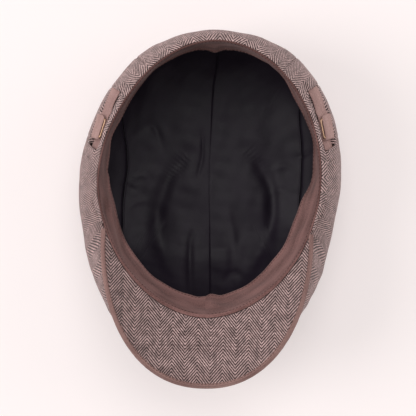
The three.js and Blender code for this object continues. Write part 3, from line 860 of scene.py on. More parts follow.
# %% A mesh as a piece of the cap
def finish_piece(name, mesh, finish, replaced=(), thickness=0.0):
    mesh.validate()
    mesh.shade_smooth()
    mesh.materials.append(finish)
    piece = bpy.data.objects.new(name, mesh)
    bpy.context.scene.collection.objects.link(piece)
    if thickness:
        solid = piece.modifiers.new("thickness", "SOLIDIFY")
        solid.thickness = thickness
        solid.offset = -1
        solid.use_even_offset = False
    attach(piece, "root")
    if replaced:
        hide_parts(*replaced)
    print(name, "has", len(mesh.polygons), "faces")


def mesh_piece(name, points, cloth, finish, ring=False, tube=False, thickness=0.0, pole=None):
    """A grid of points as the piece that stands for the node of its name.

    A ring's columns and a tube's rows close on themselves. A pole is one more point, with its
    place on the cloth, that the last row runs together in.
    """
    rows, columns = points.shape[:2]
    vertices = slump(points).reshape(-1, 3)
    r = np.arange(rows if tube else rows - 1)[:, None]
    c = np.arange(columns if ring else columns - 1)[None, :]
    corners = [(r, c), (r + 1, c), (r + 1, c + 1), (r, c + 1)]
    quads = np.stack([(a % rows) * columns + b % columns for a, b in corners], -1).reshape(-1, 4)
    place = np.stack([cloth[a, b] for a, b in corners], 2).reshape(-1, 2)
    counts = np.full(len(quads), 4)
    loops = quads.reshape(-1)
    if pole is not None:
        fan, fan_place = pole_fan(cloth, pole[1], rows, columns, ring)
        vertices = np.concatenate([vertices, [pole[0]]])
        place = np.concatenate([place, fan_place])
        loops = np.concatenate([loops, fan.reshape(-1)])
        counts = np.concatenate([counts, np.full(len(fan), 3)])
    mesh = new_mesh(name, vertices, loops, counts, place)
    if tube:
        close_tube(mesh, rows, columns, ring)
    finish_piece(name, mesh, finish, (name,), thickness)


print("Finishes ready for the pieces:", len(bpy.data.materials))

# %% [markdown]
# ## Stitches
#
# Seen close, a line of stitches is a row of short threads that dip into the cloth at both ends.
# They could be painted, but real ones catch the light, so each is a small bent tube. One mesh
# holds a whole row, because hundreds of objects would be slow to handle.

# %% One line of stitches
STITCH_LENGTH = 0.0019
STITCH_PITCH = 0.0027
THREAD_RADIUS = 0.00021
THREAD_SIDES = 6
THREAD_RINGS = 5
THREAD_TAPER = 0.96
THREAD_SUNK = 1.1
THREAD_PLACES = (0.0004, 0.0001)  # metres on the cloth from ring to ring and from side to side


def bent_threads(points, up):
    """Rings of points of the stitches along one line of points."""
    turn = circle(THREAD_SIDES)
    along = np.linspace(-1, 1, THREAD_RINGS)
    arch = np.sqrt(1 - THREAD_TAPER * along**2)
    run = arc(points[None], 1)[0]
    at = np.arange(STITCH_PITCH, run[-1] - STITCH_PITCH, STITCH_PITCH)[:, None]
    at = at + along * STITCH_LENGTH / 2
    centre = np.stack([np.interp(at, run, points[:, k]) for k in range(3)], -1)
    rise = unit(np.stack([np.interp(at, run, up[:, k]) for k in range(3)], -1))
    beside = np.cross(unit(np.gradient(centre, axis=1)), rise)
    centre = centre + rise * (THREAD_RADIUS * (2 * arch - THREAD_SUNK))[:, None]
    spread = (THREAD_RADIUS * arch)[:, None, None]
    return centre[:, :, None] + spread * (
        beside[:, :, None] * np.cos(turn)[:, None] + rise[:, :, None] * np.sin(turn)[:, None])


print("A stitch is", STITCH_LENGTH * 1000, "mm long")


# %% Rows of stitches as one mesh
def threads(name, lines, slot):
    """Rows of stitches. Each row is a line of points and the direction away from the cloth."""
    made = np.concatenate([bent_threads(points, up) for points, up in lines])
    count, rings, sides = made.shape[:3]
    r, s = np.arange(rings - 1)[:, None] * sides, np.arange(sides)
    after = (s + 1) % sides
    quads = np.stack([r + s, r + after, r + sides + after, r + sides + s], -1).reshape(-1, 4)
    ends = [list(range(sides))[::-1], list(range((rings - 1) * sides, rings * sides))]
    one = quads.tolist() + ends
    faces = [[k * rings * sides + v for v in face] for k in range(count) for face in one]
    mesh = bpy.data.meshes.new(name)
    mesh.from_pydata(slump(made.reshape(-1, 3)).tolist(), [], faces)
    steps = (np.arange(count * rings) * THREAD_PLACES[0], np.arange(sides) * THREAD_PLACES[1])
    place = np.stack(np.meshgrid(*steps, indexing="ij"), -1).reshape(-1, 2)
    corners = np.empty(len(mesh.loops), int)
    mesh.loops.foreach_get("vertex_index", corners)
    mesh.uv_layers.new(name="Cloth").data.foreach_set("uv", place[corners].reshape(-1))
    print(count, "stitches")
    finish_piece(name, mesh, THREAD_FINISH)


print("A stitch has", THREAD_SIDES * (THREAD_RINGS - 1) + 2, "faces")

# %% [markdown]
# ## Panels
#
# A panel runs between two seams, from the mouth or down to the top seam. Its edges are turned in,
# so the cloth dips into each seam and swells a little beside it, and nowhere is it quite even.
# A bump in the finish could fake that, but not at the outline or in the model's own mesh.

# %% Seams and slow waves
SEAM_DIP = 0.0005
SEAM_ROLL = 0.0009
PUCKER_WAVE = 0.012
LONG_WAVE = 0.05
SHORT_WAVE = 0.017
SHORT_SHARE = 0.35
MOSTLY_SUNK = 0.8


def sewn_edges(points, edges, dip=SEAM_DIP, roll=SEAM_ROLL):
    """How far the cloth sinks at its sewn edges, with a slight swelling beside them."""
    across, along = arc(points, 1), arc(points, 0)
    reach = {"start": across, "end": across[:, -1:] - across, "mouth": along,
             "foot": along[-1:] - along}
    sunk = np.zeros(points.shape[:2])
    for edge in edges:
        d = reach[edge]
        pucker = 1 + 0.3 * sway(points, PUCKER_WAVE, 7)
        swell = 0.2 * np.exp(-((d - 2.6 * roll) / (1.3 * roll)) ** 2) * pucker
        sunk = sunk + dip * (np.exp(-((d / roll) ** 2)) - swell)
    return sunk


def undulate(points, height=0.0005, seed=3):
    """Cloth is never quite even. It sinks a little more than it swells."""
    wave = sway(points, LONG_WAVE, seed) + SHORT_SHARE * sway(points, SHORT_WAVE, seed + 1)
    return height * (wave - MOSTLY_SUNK)


print("A seam dips by", SEAM_DIP * 1000, "mm")

# %% A patch between two seams
TWEED_STEP = 0.0016
WALL_EASED = 0.65
GIRTH_STATION = 0.6
TOP_SEAM_STATION = 1.45
TOP_SEAM_START = 20
TOP_SEAM_END = 62


def patch(start, end, top, bottom, width, height, step):
    """Angles and stations of a patch between two seams, as two grids."""
    u = np.linspace(0, 1, int(width / step) + 1)[None, :]
    v = np.linspace(0, 1, int(height / step) + 1)[:, None]
    deg = mix(start(1.0), end(1.0), u) + 0 * v
    for _ in range(4):
        station = mix(top(deg), bottom(deg), v)
        deg = mix(start(station), end(station), u)
    return deg, station


def side_cloth(surface, deg, station):
    """Metres round the cap and down the profile, for cloth cut square to the rim."""
    table = np.linspace(-100, 280, 761)
    girth = surface(table, np.full_like(table, GIRTH_STATION))
    length = np.concatenate([[0], np.cumsum(np.linalg.norm(np.diff(girth, axis=0), axis=1))])
    down = arc(surface(deg, station) * [1, 1, WALL_EASED], 0) + station[:1] * 0.03
    return np.stack([np.interp(deg, table, length), down], -1)


def top_seam(deg):
    return TOP_SEAM_STATION * smooth(-TOP_SEAM_END, -TOP_SEAM_START, folded(deg))


print("The top seam's back is at station", top_seam(90.0))

# %% [markdown]
# ## The crown
#
# Four kinds of panel make the crown: a back, a rear and a front panel at each side, and between
# those two the sunk strip that the strap lies in. One mesh for the whole crown would be simpler,
# but its weave would run on over the seams. Cut as panels, each has its own cloth, dips at its
# own edges, and can be sunk or lifted by itself. The left side is the right one mirrored.

# %% How each panel is lifted or sunk
SLIT_LIFT = 0.0013
SLIT_REACH = 5
SHADOW_STARTS = (-20, -27)
SHADOW_ENDS = (-80, -60)
BINDING_SHADOW = 0.0026
SHADOW_REACH = 0.085
LANE_METRES = 0.04
UNDERCUT = 0.0026


def slit_lift(slit, share, deg, station):
    """The cloth stands up along a slit that the strap comes out of."""
    away = (np.abs(folded(deg)) - slit(station)) / SLIT_REACH
    return SLIT_LIFT * in_lane(share, station) * np.exp(-away * away)


def front_lift(deg, station):
    """The cloth stands up at the slit, and dives in below the peak's binding."""
    ahead = smooth(*SHADOW_STARTS, folded(deg)) * smooth(*SHADOW_ENDS, folded(deg))
    dive = BINDING_SHADOW * ahead * np.exp(-((station / SHADOW_REACH) ** 2))
    return slit_lift(front_slit, 1, deg, station) - dive


def rear_lift(deg, station):
    return slit_lift(rear_slit, 0, deg, station)


def inset_lift(deg, station):
    """The strip is sunk in the lane, and undercut beside the band, where a dark gap shows."""
    share = lane_share(deg)
    across = (station - lane_station(share)) * LANE_METRES
    floor_of_lane = (recess(share) - lane_tilt(share, across)) * in_lane(share, station)
    under_band = UNDERCUT * (station < lane_station(share)) * smooth(0, 0.15, share)
    return -np.maximum(floor_of_lane, under_band * smooth(1, 0.9, share))


def no_lift(deg, station):
    return 0 * deg


print("The lane is sunk", round(float(recess(0.7)) * 1000, 1), "mm below the buckle")

# %% Side and back panels
ALL_EDGES = ("start", "end", "foot", "mouth")
OTHER_EDGE = {"start": "end", "end": "start"}
CROWN_THICKNESS = TWEED * 0.85
WALL_HEIGHT = 0.085
INSET_STEP = 0.7
CORNER_SEAM = 52.3
FRONT_WIDTH = 0.15
INSET_WIDTH = 0.045
REAR_WIDTH = 0.03
BACK_WIDTH = 0.13


def at_mouth(deg):
    return 0 * deg


def constant(deg):
    return lambda station: deg + 0 * station


def panel(name, start, end, width, lift, edges=ALL_EDGES, left=False, finer=1):
    step = TWEED_STEP * finer
    deg, station = patch(start, end, at_mouth, top_seam, width, WALL_HEIGHT, step)
    points, out = crown(deg, station), normals(crown, deg, station)
    cloth = side_cloth(crown, deg, station)
    raised = lift(deg, station)
    if left:
        points, out = mirrored(points, out)
        cloth, raised = cloth[:, ::-1] * [-1, 1], raised[:, ::-1]
        edges = [OTHER_EDGE.get(edge, edge) for edge in edges]
    raised = raised + undulate(points) - sewn_edges(points, edges)
    points = points + out * raised[..., None]
    mesh_piece(name, points, cloth, TWEED_FINISH, thickness=CROWN_THICKNESS)


for side, left in (("right", False), ("left", True)):
    panel(f"crown_front_{side}", constant(1 - TOP_SEAM_END), front_slit, FRONT_WIDTH,
          front_lift, ("end", "foot", "mouth"), left)
    panel(f"crown_inset_{side}", front_slit, rear_slit, INSET_WIDTH, inset_lift, ALL_EDGES,
          left, INSET_STEP)
    panel(f"crown_rear_{side}", rear_slit, constant(CORNER_SEAM), REAR_WIDTH, rear_lift,
          ALL_EDGES, left)
panel("crown_back", constant(CORNER_SEAM), constant(180 - CORNER_SEAM), BACK_WIDTH, no_lift)

# %% [markdown]
# ## Topstitches beside the slits
#
# A row of stitches runs down beside each front slit and holds its edge flat. The stitches follow
# the same curve as the slit, moved a little towards the front, and lie on the lifted cloth.

# %% The topstitches ahead of each front slit
SLIT_STITCHES_AHEAD = 4.6
SLIT_STITCHES_BETWEEN = (0.04, 0.42)
ABOVE_CLOTH = 0.0001


def slit_stitches(side):
    station = np.linspace(*SLIT_STITCHES_BETWEEN, 24)
    deg = front_slit(station) - SLIT_STITCHES_AHEAD
    points, out = crown(deg, station) * [side, 1, 1], normals(crown, deg, station) * [side, 1, 1]
    raised = front_lift(deg, station) + undulate(points)
    return points + out * (raised + ABOVE_CLOTH)[:, None], out


threads("slit_stitches", [slit_stitches(side) for side in (1, -1)], "tweed")

# %% [markdown]
# ## The top panel
#
# The large top panel runs under the others, and in front it climbs to the peak. On the real cap it
# is one piece of tweed, so its weave runs straight from front to back. Here it is a ring of
# profiles that run together in the middle of the flat, and its places on the cloth are measured
# outwards from there, so the weave stays whole. Where the cap lies on it, it is pressed flat.

# %% The top panel
FLAT_FLOOR = 0.00005
TOP_COLUMNS = 330
TOP_ROWS = 62
TOP_LAST_STATION = 2.97
PRESSED_FROM = (1.75, 1.95)
TOP_WAVES = 0.0006
TOP_SEAM_DIP = 0.0008
TOP_SEAM_ROLL = 0.0011


def crown_top():
    down = np.linspace(0, 1, TOP_ROWS + 1)[:, None]
    deg = np.linspace(-90, 270, TOP_COLUMNS + 1)[None, :] + 0 * down
    station = mix(top_seam(deg), TOP_LAST_STATION, down)
    points, out = crown(deg, station), normals(crown, deg, station)
    out[station > 2] = (0, 0, -1)
    reach = arc(points[::-1], 0)[::-1]
    middle = np.array([0, HEAD_Y - FLAT_FORWARD, 0.0])
    heading = points - middle
    angle = np.arctan2(heading[..., 1], heading[..., 0])
    cloth = np.stack([reach * np.cos(angle), reach * np.sin(angle)], -1)
    pressed = smooth(*PRESSED_FROM, station)
    raised = undulate(points, TOP_WAVES) * (1 - pressed)
    sunk = sewn_edges(points, ["mouth"], TOP_SEAM_DIP, TOP_SEAM_ROLL)
    points = points + out * (raised - sunk)[..., None]
    points[..., 2] = np.maximum(points[..., 2], FLAT_FLOOR)
    mesh_piece("crown_top", points[:, :-1], cloth, TWEED_FINISH, ring=True,
               thickness=CROWN_THICKNESS, pole=(middle + [0, 0, FLAT_FLOOR], (0.0, 0.0)))


crown_top()

# %% [markdown]
# ## The band round the opening
#
# A strip of tweed, cut square to the rim, finishes the edge from one end of the peak round the
# back to the other. It is folded over at the rim, and its lower edge is sewn to the crown. A curve
# with a bevel would sweep one section round the rim, but this section narrows towards the peak and
# is pinched beside the strap, so it is worked out at each angle instead.


# %% A section swept round the rim
def around_rim(low, high, step):
    """Angles evenly spaced along the rim."""
    fine = np.linspace(low, high, 2000)
    length = arc(rim(fine)[None], 1)[0]
    count = int(length[-1] / step)
    return np.interp(np.linspace(0, length[-1], count + 1), length, fine)


def swept(deg, away, down):
    """Points of a section swept round the rim: away from it, and down from it."""
    p = rim(deg)[None] + outward(deg)[None] * away[..., None]
    p[..., 2] -= down
    return p


rim_length = float(arc(rim(np.linspace(-90, 270, 400))[None], 1)[0, -1])
print("Round the rim is", round(rim_length, 3), "m")

# %% The rim band
BAND_PINCH = 0.0017
BAND_DIP = 0.0009
BAND_ROLL = 0.0013
EASED_OPEN = 0.1
EASED_DOWN = 0.0042
FOLD_ROWS = 9
FALL_ROWS = 12
BAND_STEP = 0.0016
BAND_CLEAR = 0.0002
TURNED_OVER = 0.4


def rim_band():
    low = -PEAK_END + 2.5
    deg = around_rim(low, 180 - low, BAND_STEP)
    edge = TWEED / 2
    turn = np.radians(np.linspace(180, 0, FOLD_ROWS))[:, None]
    flare = band_flare(deg)[None]
    height = (RIM_BAND_HEIGHT * band_share(deg))[None]
    fall = np.linspace(0.08, 1, FALL_ROWS)[:, None]
    turned = np.sin(np.minimum(fall / TURNED_OVER, 1) * math.pi / 2)
    flare = flare - BAND_PINCH * beside_lane(deg, 0.2, 0.95)[None]
    outer_away = mix(TWEED, flare + BAND_CLEAR, turned)
    away = np.concatenate([edge + edge * np.cos(turn) + 0 * flare, outer_away,
                           flare - TWEED * 0.8 + 0 * fall[:1], BAND_CLEAR + 0 * flare])
    down = np.concatenate([edge - edge * np.sin(turn) + 0 * flare, mix(edge, height, fall),
                           height, edge + 0 * flare])
    points = swept(deg, away, down)
    outer = slice(FOLD_ROWS, FOLD_ROWS + FALL_ROWS)
    lower_edge = points[outer.stop - 1:outer.stop, :, 2]
    sink = BAND_DIP * np.exp(-((points[..., 2] - lower_edge) / BAND_ROLL) ** 2)
    points[outer] -= (outward(deg)[None] * sink[..., None])[outer]
    points = points + outward(deg)[None] * (0.0003 * sway(points, 0.02, 21))[..., None]
    along = arc(rim(deg)[None], 1)
    flat = np.stack([away, down - (1 - EASED_OPEN) * np.minimum(down, EASED_DOWN)], -1)
    cloth = np.stack([along + 0 * away, arc(flat, 0)], -1)
    cloth = np.concatenate([cloth, cloth[:1] + [0, 0.03]])
    mesh_piece("rim_band", points, cloth, TWEED_FINISH, tube=True)


rim_band()

# %% [markdown]
# ## The sweatband
#
# A strip of brown suede cloth. Its upper edge is turned over and topstitched to the rim, and the
# rest stands in the opening like a soft collar. At the sides it hugs the crown, and in front it
# leans in over the lining. Nothing holds its free edge, so it waves. A simulation could lean it
# too, but not as far in each place as this one leans, so a table says how far.

# %% How the sweatband leans
LEAN = (  # angle round the rim, share of the band's height that its free edge leans in
    (-180, 0.18), (-165, 0.259), (-141, 0.288), (-117, 0.341), (-98, 0.394), (-91, 0.43),
    (-86, 0.47), (-77, 0.375), (-57, 0.371), (-34, 0.359), (-14, 0.335), (6, 0.15), (19, 0.09),
    (36, 0.16), (50, 0.085), (61, 0.05), (78, 0.035), (84, 0.065), (92, 0.14), (98, 0.07),
    (103, 0.035), (120, 0.035), (143, 0.08), (160, 0.055), (176, 0.14), (180, 0.18),
)
print("It leans in most at", max(LEAN, key=lambda row: row[1])[0], "degrees")

# %% The sweatband's section
SWEATBAND_HEIGHT = 0.034
SWEATBAND_THICKNESS = 0.0012
SWEATBAND_LEDGE = 0.0031
GROOVE_DOWN = 0.0019
TURNED_IN = (0.02, 0.0, 0.05, 0.18, 0.38, 0.6, 0.8, 0.94, 1.0, 0.97, 0.88)  # shares of the ledge
TURNED_DOWN = (1.7, 0.8, 0.25, 0.0, 0.05, 0.2, 0.4, 0.65, 1.0, 1.4, 1.7)  # millimetres
WALL_ROWS = 30
HEM_UP = 0.0042
HEM_RAISED = 0.0005
SWEATBAND_STEP = 0.0018
RIPPLE = 0.0006
SAG = 0.0008
CLEAR = 0.0002
LEDGE_SHARES = (0.42, 0.85)  # at the sides and back, and in front
BACK_EVERY = -4


def sweatband_wall(deg, at_rim, ledge):
    """How far in and how far down the band's inner face lies, from the groove to its free edge."""
    lean = eased((deg + 180) % 360 - 180, LEAN) * SWEATBAND_HEIGHT
    frontal = smooth(0.2, 0.9, -sine(deg))
    wave = (0.0004 + 0.0003 * frontal) * sway(at_rim, 0.03, 31)
    fall = np.linspace(0, 1, WALL_ROWS)[:, None]
    end = np.maximum(lean + wave, SWEATBAND_THICKNESS + CLEAR)[None]
    inward = mix(ledge - CLEAR, end, mix(fall, fall**1.4, 0.5))
    waves = sway(at_rim[None] + fall[..., None] * 0.02, 0.02, 33)
    ripple = RIPPLE * np.sin(math.pi * fall) * waves
    to_edge = (1 - fall) * SWEATBAND_HEIGHT
    hem = HEM_RAISED * smooth(0.0045, 0.0036, to_edge)
    hem = hem - HEM_RAISED * np.exp(-(((to_edge - HEM_UP) / 0.0007) ** 2))
    sag = SAG * sway(at_rim, 0.06, 35)[None] * fall
    return inward + ripple + hem, mix(GROOVE_DOWN, SWEATBAND_HEIGHT, fall) + sag


print("The band stands", SWEATBAND_HEIGHT * 1000, "mm into the opening")


# %% The sweatband and its stitches
def sweatband():
    deg = around_rim(-90, 270, SWEATBAND_STEP)[:-1]
    at_rim = rim(deg)
    ledge = (SWEATBAND_LEDGE * mix(*LEDGE_SHARES, smooth(0.35, 0.95, -sine(deg))))[None]
    turned_in = np.array(TURNED_IN)[:, None] * ledge
    turned_down = np.array(TURNED_DOWN)[:, None] * 0.001 + 0 * ledge
    wall_in, wall_down = sweatband_wall(deg, at_rim, ledge)
    under = np.radians(np.linspace(20, 160, 5))[:, None]
    half = SWEATBAND_THICKNESS / 2
    hem_in = wall_in[-1:] - half + half * np.cos(under)
    hem_down = wall_down[-1:] + half * np.sin(under)
    back_in = np.maximum(wall_in[::BACK_EVERY] - SWEATBAND_THICKNESS, 0.0003)
    inward = np.concatenate([turned_in, wall_in, hem_in, back_in])
    down = np.concatenate([turned_down, wall_down, hem_down, wall_down[::BACK_EVERY]])
    points = swept(deg, -inward, down)
    along = arc(np.concatenate([at_rim, at_rim[:1]])[None], 1)
    lengths = arc(np.concatenate([points, points[:1]]), 0)
    lengths = np.concatenate([lengths, lengths[:, :1]], 1)
    cloth = np.stack([along + 0 * lengths, lengths], -1)
    mesh_piece("sweatband", points, cloth, SUEDE_FINISH, ring=True, tube=True)
    inwards = -outward(deg)
    rows = (len(TURNED_IN) + 1, len(TURNED_IN) + int(0.9 * WALL_ROWS))
    threads("sweatband_stitches", [(points[row], inwards) for row in rows], "suede")


sweatband()

# %% [markdown]
# ## The lining
#
# Black satin, cut as two halves with a seam down the middle and a narrow piece at each side. It is
# a little larger than the crown that it lies in, so it gathers into long soft folds that run from
# the front towards the back, and into small creases along the side seams. Simulated cloth would
# put its folds where it likes. Here each fold is a curve with a depth and a width, so it lies where
# the real one does.

# %% Folds and creases
FOLDS = (  # x and y of the start, middle and end of a fold, its depth and half its width
    ((-0.022, -0.068), (-0.040, -0.010), (-0.018, 0.040), -0.0036, 0.0058),
    ((0.024, -0.060), (0.050, -0.002), (0.028, 0.046), -0.0040, 0.0058),
    ((-0.014, -0.078), (-0.016, -0.045), (-0.014, -0.020), -0.0022, 0.0026),
    ((0.016, -0.060), (0.018, -0.030), (0.012, 0.005), 0.0016, 0.0040),
    ((-0.009, 0.024), (-0.006, 0.040), (-0.007, 0.058), -0.0014, 0.0018),
    ((-0.058, 0.056), (-0.046, 0.062), (-0.038, 0.046), -0.0018, 0.0035),
    ((0.012, -0.058), (0.020, -0.053), (0.027, -0.056), 0.0012, 0.0022),
    ((-0.062, -0.002), (-0.056, 0.002), (-0.049, 0.003), 0.0008, 0.0022),
    ((-0.060, 0.020), (-0.054, 0.023), (-0.048, 0.021), 0.0008, 0.0022),
    ((0.050, 0.030), (0.057, 0.033), (0.062, 0.031), 0.0007, 0.0022),
    ((0.048, 0.012), (0.056, 0.015), (0.062, 0.013), 0.0007, 0.0022),
    ((-0.060, -0.030), (-0.054, -0.028), (-0.048, -0.031), 0.0008, 0.0022),
    ((-0.068, 0.016), (-0.062, 0.013), (-0.057, 0.012), -0.0014, 0.0013),
    ((0.068, 0.040), (0.073, 0.041), (0.078, 0.044), -0.0014, 0.0013),
)


def folds_at(points):
    """The height of the lining's folds, seen from above."""
    flat = points[..., :2].reshape(-1, 2)
    total = np.zeros(len(flat))
    t = np.linspace(0, 1, 40)[:, None]
    for start, middle, end, depth, half in FOLDS:
        start, middle, end = np.array((start, middle, end))
        pull = 2 * middle - 0.5 * (start + end)
        line = start * (1 - t) ** 2 + 2 * pull * t * (1 - t) + end * t**2
        away = np.linalg.norm(flat[:, None] - line[None], axis=2)
        nearest = away.argmin(1)
        fade = np.sin(math.pi * (0.06 + 0.88 * t[nearest, 0])) ** 0.7
        total += depth * fade * np.exp(-((away.min(1) / half) ** 2))
    return total.reshape(points.shape[:2])


print(len(FOLDS), "folds, the deepest", max(abs(fold[3]) for fold in FOLDS) * 1000, "mm")

# %% [markdown]
# ## Its seams
#
# The seam between a half and a side piece is a line on the lining's loft, so both pieces take
# their edge from one table of angles and stations. The two sides differ, as in any sewn lining.

# %% The seams between its pieces
LINING_SEAMS = {  # angle, station of the seam between a side piece and its half
    1: ((-46, 0), (-38, 1.25), (-26, 1.52), (-10, 1.59), (6, 1.63), (23, 1.56), (35, 1.45),
        (45, 0.9), (52, 0)),
    -1: ((-46, 0), (-38, 1.3), (-25, 1.59), (-8, 1.70), (3, 1.75), (17, 1.67), (28, 1.44),
         (40, 0.9), (50, 0)),
}
SEAM_DRIFT = 0.0034
SEAM_EASED = (-4, -2, 0, 2, 4)


def lining_seam(deg, side):
    angles, stations = np.array(LINING_SEAMS[side]).T
    table = [np.interp(folded(deg) + d, angles, stations) for d in SEAM_EASED]
    inside = np.minimum(folded(deg) - angles[0], angles[-1] - folded(deg))
    return sum(table) / len(table) * smooth(0, 4, inside)


print("The right seam is lowest at station", max(station for _, station in LINING_SEAMS[1]))

# %% How loosely the satin lies
SATIN_SLACK = 0.0046


def drift(points):
    """The seam down the middle of the lining strays to one side towards the front."""
    inside = np.maximum(0, 1 - (points[..., 0] / 0.06) ** 2)
    points[..., 0] += SEAM_DRIFT * smooth(0.05, -0.08, points[..., 1]) * inside
    return points


def loose(points, station):
    """How far the satin stands off the crown: folds, creases and a general slackness."""
    settled = smooth(0.5, 1.5, station)
    slack = SATIN_SLACK + 0.0007 * sway(points, 0.036, 41) + 0.0002 * sway(points, 0.011, 43)
    return settled * np.maximum(slack + folds_at(points), 0.0002)


print("The satin stands", SATIN_SLACK * 1000, "mm off the crown")

# %% Its halves
SATIN_THICKNESS = 0.0006
MIDDLE_RIDGE = 0.00025
MIDDLE_RIDGE_HALF = 0.0008
HALF_COLUMNS = 130
HALF_ROWS = 92
HALF_LAST_STATION = 2.985


def lining_half(name, side):
    down = np.linspace(0, 1, HALF_ROWS + 1)[:, None]
    deg = np.linspace(-90, 90, HALF_COLUMNS + 1)[None, :] + 0 * down
    station = mix(lining_seam(deg, side), HALF_LAST_STATION, down)
    points, out = lining(deg, station), normals(lining, deg, station)
    out[station > 2] = (0, 0, -1)
    if side < 0:
        points, out = mirrored(points, out)
        station = station[:, ::-1]
    cloth = np.stack([points[..., 0], arc(points[::-1], 0)[::-1] * 0.6 + points[..., 1]], -1)
    ridge = MIDDLE_RIDGE * np.exp(-((points[..., 0] / MIDDLE_RIDGE_HALF) ** 2))
    lift = -loose(points, station) + ridge - sewn_edges(points, ["mouth"])
    points = drift(points + out * lift[..., None])
    foot = points[-1, (0, -1)].mean(0)
    mesh_piece(name, points, cloth, LINING_FINISH, thickness=SATIN_THICKNESS,
               pole=(foot, cloth[-1, 0]))


print("A half is a grid of", HALF_ROWS, "by", HALF_COLUMNS)

# %% Its side pieces
SIDE_COLUMNS = 96
SIDE_ROWS = 40


def lining_side(name, side):
    start, end = LINING_SEAMS[side][0][0] + 0.5, LINING_SEAMS[side][-1][0] - 0.5
    down = np.linspace(0, 1, SIDE_ROWS)[:, None]
    deg = np.linspace(start, end, SIDE_COLUMNS)[None, :] + 0 * down
    station = mix(0, lining_seam(deg, side), down)
    points, out = lining(deg, station), normals(lining, deg, station)
    cloth = np.stack([points[..., 1], arc(points, 0)], -1)
    if side < 0:
        points, out = mirrored(points, out)
        cloth, station = cloth[:, ::-1], station[:, ::-1]
    lift = -loose(points, station) + sewn_edges(points, ["foot"])
    points = points + out * lift[..., None]
    mesh_piece(name, points, cloth, LINING_FINISH, thickness=SATIN_THICKNESS)


for name, side in (("right", 1), ("left", -1)):
    lining_half(f"lining_top_{name}", side)
    lining_side(f"lining_side_{name}", side)

# %% [markdown]
# ## The peak
#
# A stiff board, bent across, with tweed drawn over it. The ribs run from front to back. A flat
# shape with a bend modifier would come close, but its edge has to follow the rim at one side and
# the binding at the other, so its rows are laid between those two lines.

# %% The covered board
PEAK_RIB = 0.0049 + 21 * YARNS_IN_RIB * YARN_ACROSS
PEAK_ROWS = 44
COVER_SUNK = 0.0003
COVER_WAVES = 0.00022
PEAK_COLUMNS = 191
UPRIGHT_WITHIN = 0.004


def peak():
    deg = np.linspace(180 + PEAK_END, 360 - PEAK_END, PEAK_COLUMNS)
    turn = np.linspace(0, 1, PEAK_ROWS)
    inner = peak_depth(deg) - SEAM_GAP
    insets = mix(inner[None], BINDING_THICKNESS + SEAM_GAP, turn[:, None])
    middle = on_peak(deg[None].repeat(PEAK_ROWS, 0), insets)
    up = peak_normal(middle)
    upright = smooth(UPRIGHT_WITHIN, 0.0, inner[None] - insets)[..., None]
    up = unit(mix(up, np.array([0, 0, 1.0]), upright))
    uneven = undulate(middle, COVER_WAVES, 51)[..., None]
    half = PEAK_THICKNESS / 2
    top = middle + up * (half + uneven - COVER_SUNK)
    under = middle - up * half
    points = np.concatenate([top, under[::-1]])
    x, y = points[..., 0], points[..., 1]
    cloth = np.stack([x + PEAK_RIB, y], -1)
    cloth = np.concatenate([cloth, cloth[:1]])
    mesh_piece("peak", points[:, ::-1], cloth[:, ::-1], TWEED_FINISH, tube=True)


peak()

# %% [markdown]
# ## The binding
#
# A strip of suede cloth is folded over the peak's edge and stitched through. A bevelled curve
# would be as round as a cord. The real strip is flat on both faces with a round nose, and fades
# out at the peak's two ends, so its section is drawn out and swept along the edge.

# %% The binding and its stitches
BINDING_PUFF = 0.00018
BINDING_STITCHES = 0.78
BINDING_SKIN = PEAK_THICKNESS / 2 + BINDING_THICKNESS * 0.8
BINDING_CHANNEL = PEAK_THICKNESS / 2 + 0.0001
BINDING_COLUMNS = 301
FLAT_ROWS = 6


def binding_section(width):
    """Distances in from the peak's edge, and up from its middle, round the folded strip."""
    skin, channel = BINDING_SKIN, BINDING_CHANNEL
    bend = np.radians(np.linspace(90, -90, 13))[:, None]
    flat_in = width * np.linspace(1, 0.35, FLAT_ROWS)[:, None]
    soft = BINDING_PUFF * np.sin(math.pi * np.linspace(0, 1, FLAT_ROWS))[:, None]
    nose = skin - skin * np.cos(bend)
    insets = np.concatenate([flat_in, nose + 0 * width, flat_in[::-1], width * 0.98, width * 0.98])
    ups = np.concatenate([skin + soft + 0 * flat_in, skin * np.sin(bend) + 0 * width,
                          -skin - soft + 0 * flat_in, -channel + 0 * width, channel + 0 * width])
    return insets, ups


def peak_binding():
    deg = np.linspace(180 + PEAK_END, 360 - PEAK_END, BINDING_COLUMNS)
    width = np.minimum(BINDING_WIDTH, peak_depth(deg) * 0.75)[None]
    insets, ups = binding_section(width)
    middle = on_peak(deg[None].repeat(len(insets), 0), insets)
    ease = 0.00012 * sway(middle, 0.006, 61)
    points = middle + peak_normal(middle) * (ups + ease * np.sign(ups))[..., None]
    along = arc(on_peak(deg, 0 * deg)[None], 1)
    cloth = np.stack([along + 0 * insets, arc(points, 0)], -1)
    cloth = np.concatenate([cloth, cloth[:1] + [0, 0.012]])
    mesh_piece("peak_binding", points, cloth, BINDING_FINISH, tube=True)
    line = on_peak(deg, width[0] * BINDING_STITCHES)
    up = peak_normal(line)
    sides = [(line + up * side * (BINDING_SKIN + ABOVE_CLOTH), up * side) for side in (1, -1)]
    threads("binding_stitches", sides, "suede")


peak_binding()

# %% [markdown]
# ## Straps and buckles
#
# At each side a strap comes out from under the rear panel, runs forward through a small brass
# frame, turns back over it and ends in a tab. A narrower strap goes on from the buckle into the
# front slit. They lie in the sunk strip, with a dark gap between them and the rim. Flat straps on
# a path could be curves with a bevel, but these also bend with the crown. So a path is drawn as
# if the lane were a straight table, and one function lays each of its points into the lane.


# %% Places along the lane
def lane_ends():
    return crown(np.array([REAR_SLIT, front_slit(LANE_FRONT)]), np.array([LANE_REAR, LANE_FRONT]))


LANE_LENGTH = float(np.linalg.norm(np.subtract(*lane_ends())))


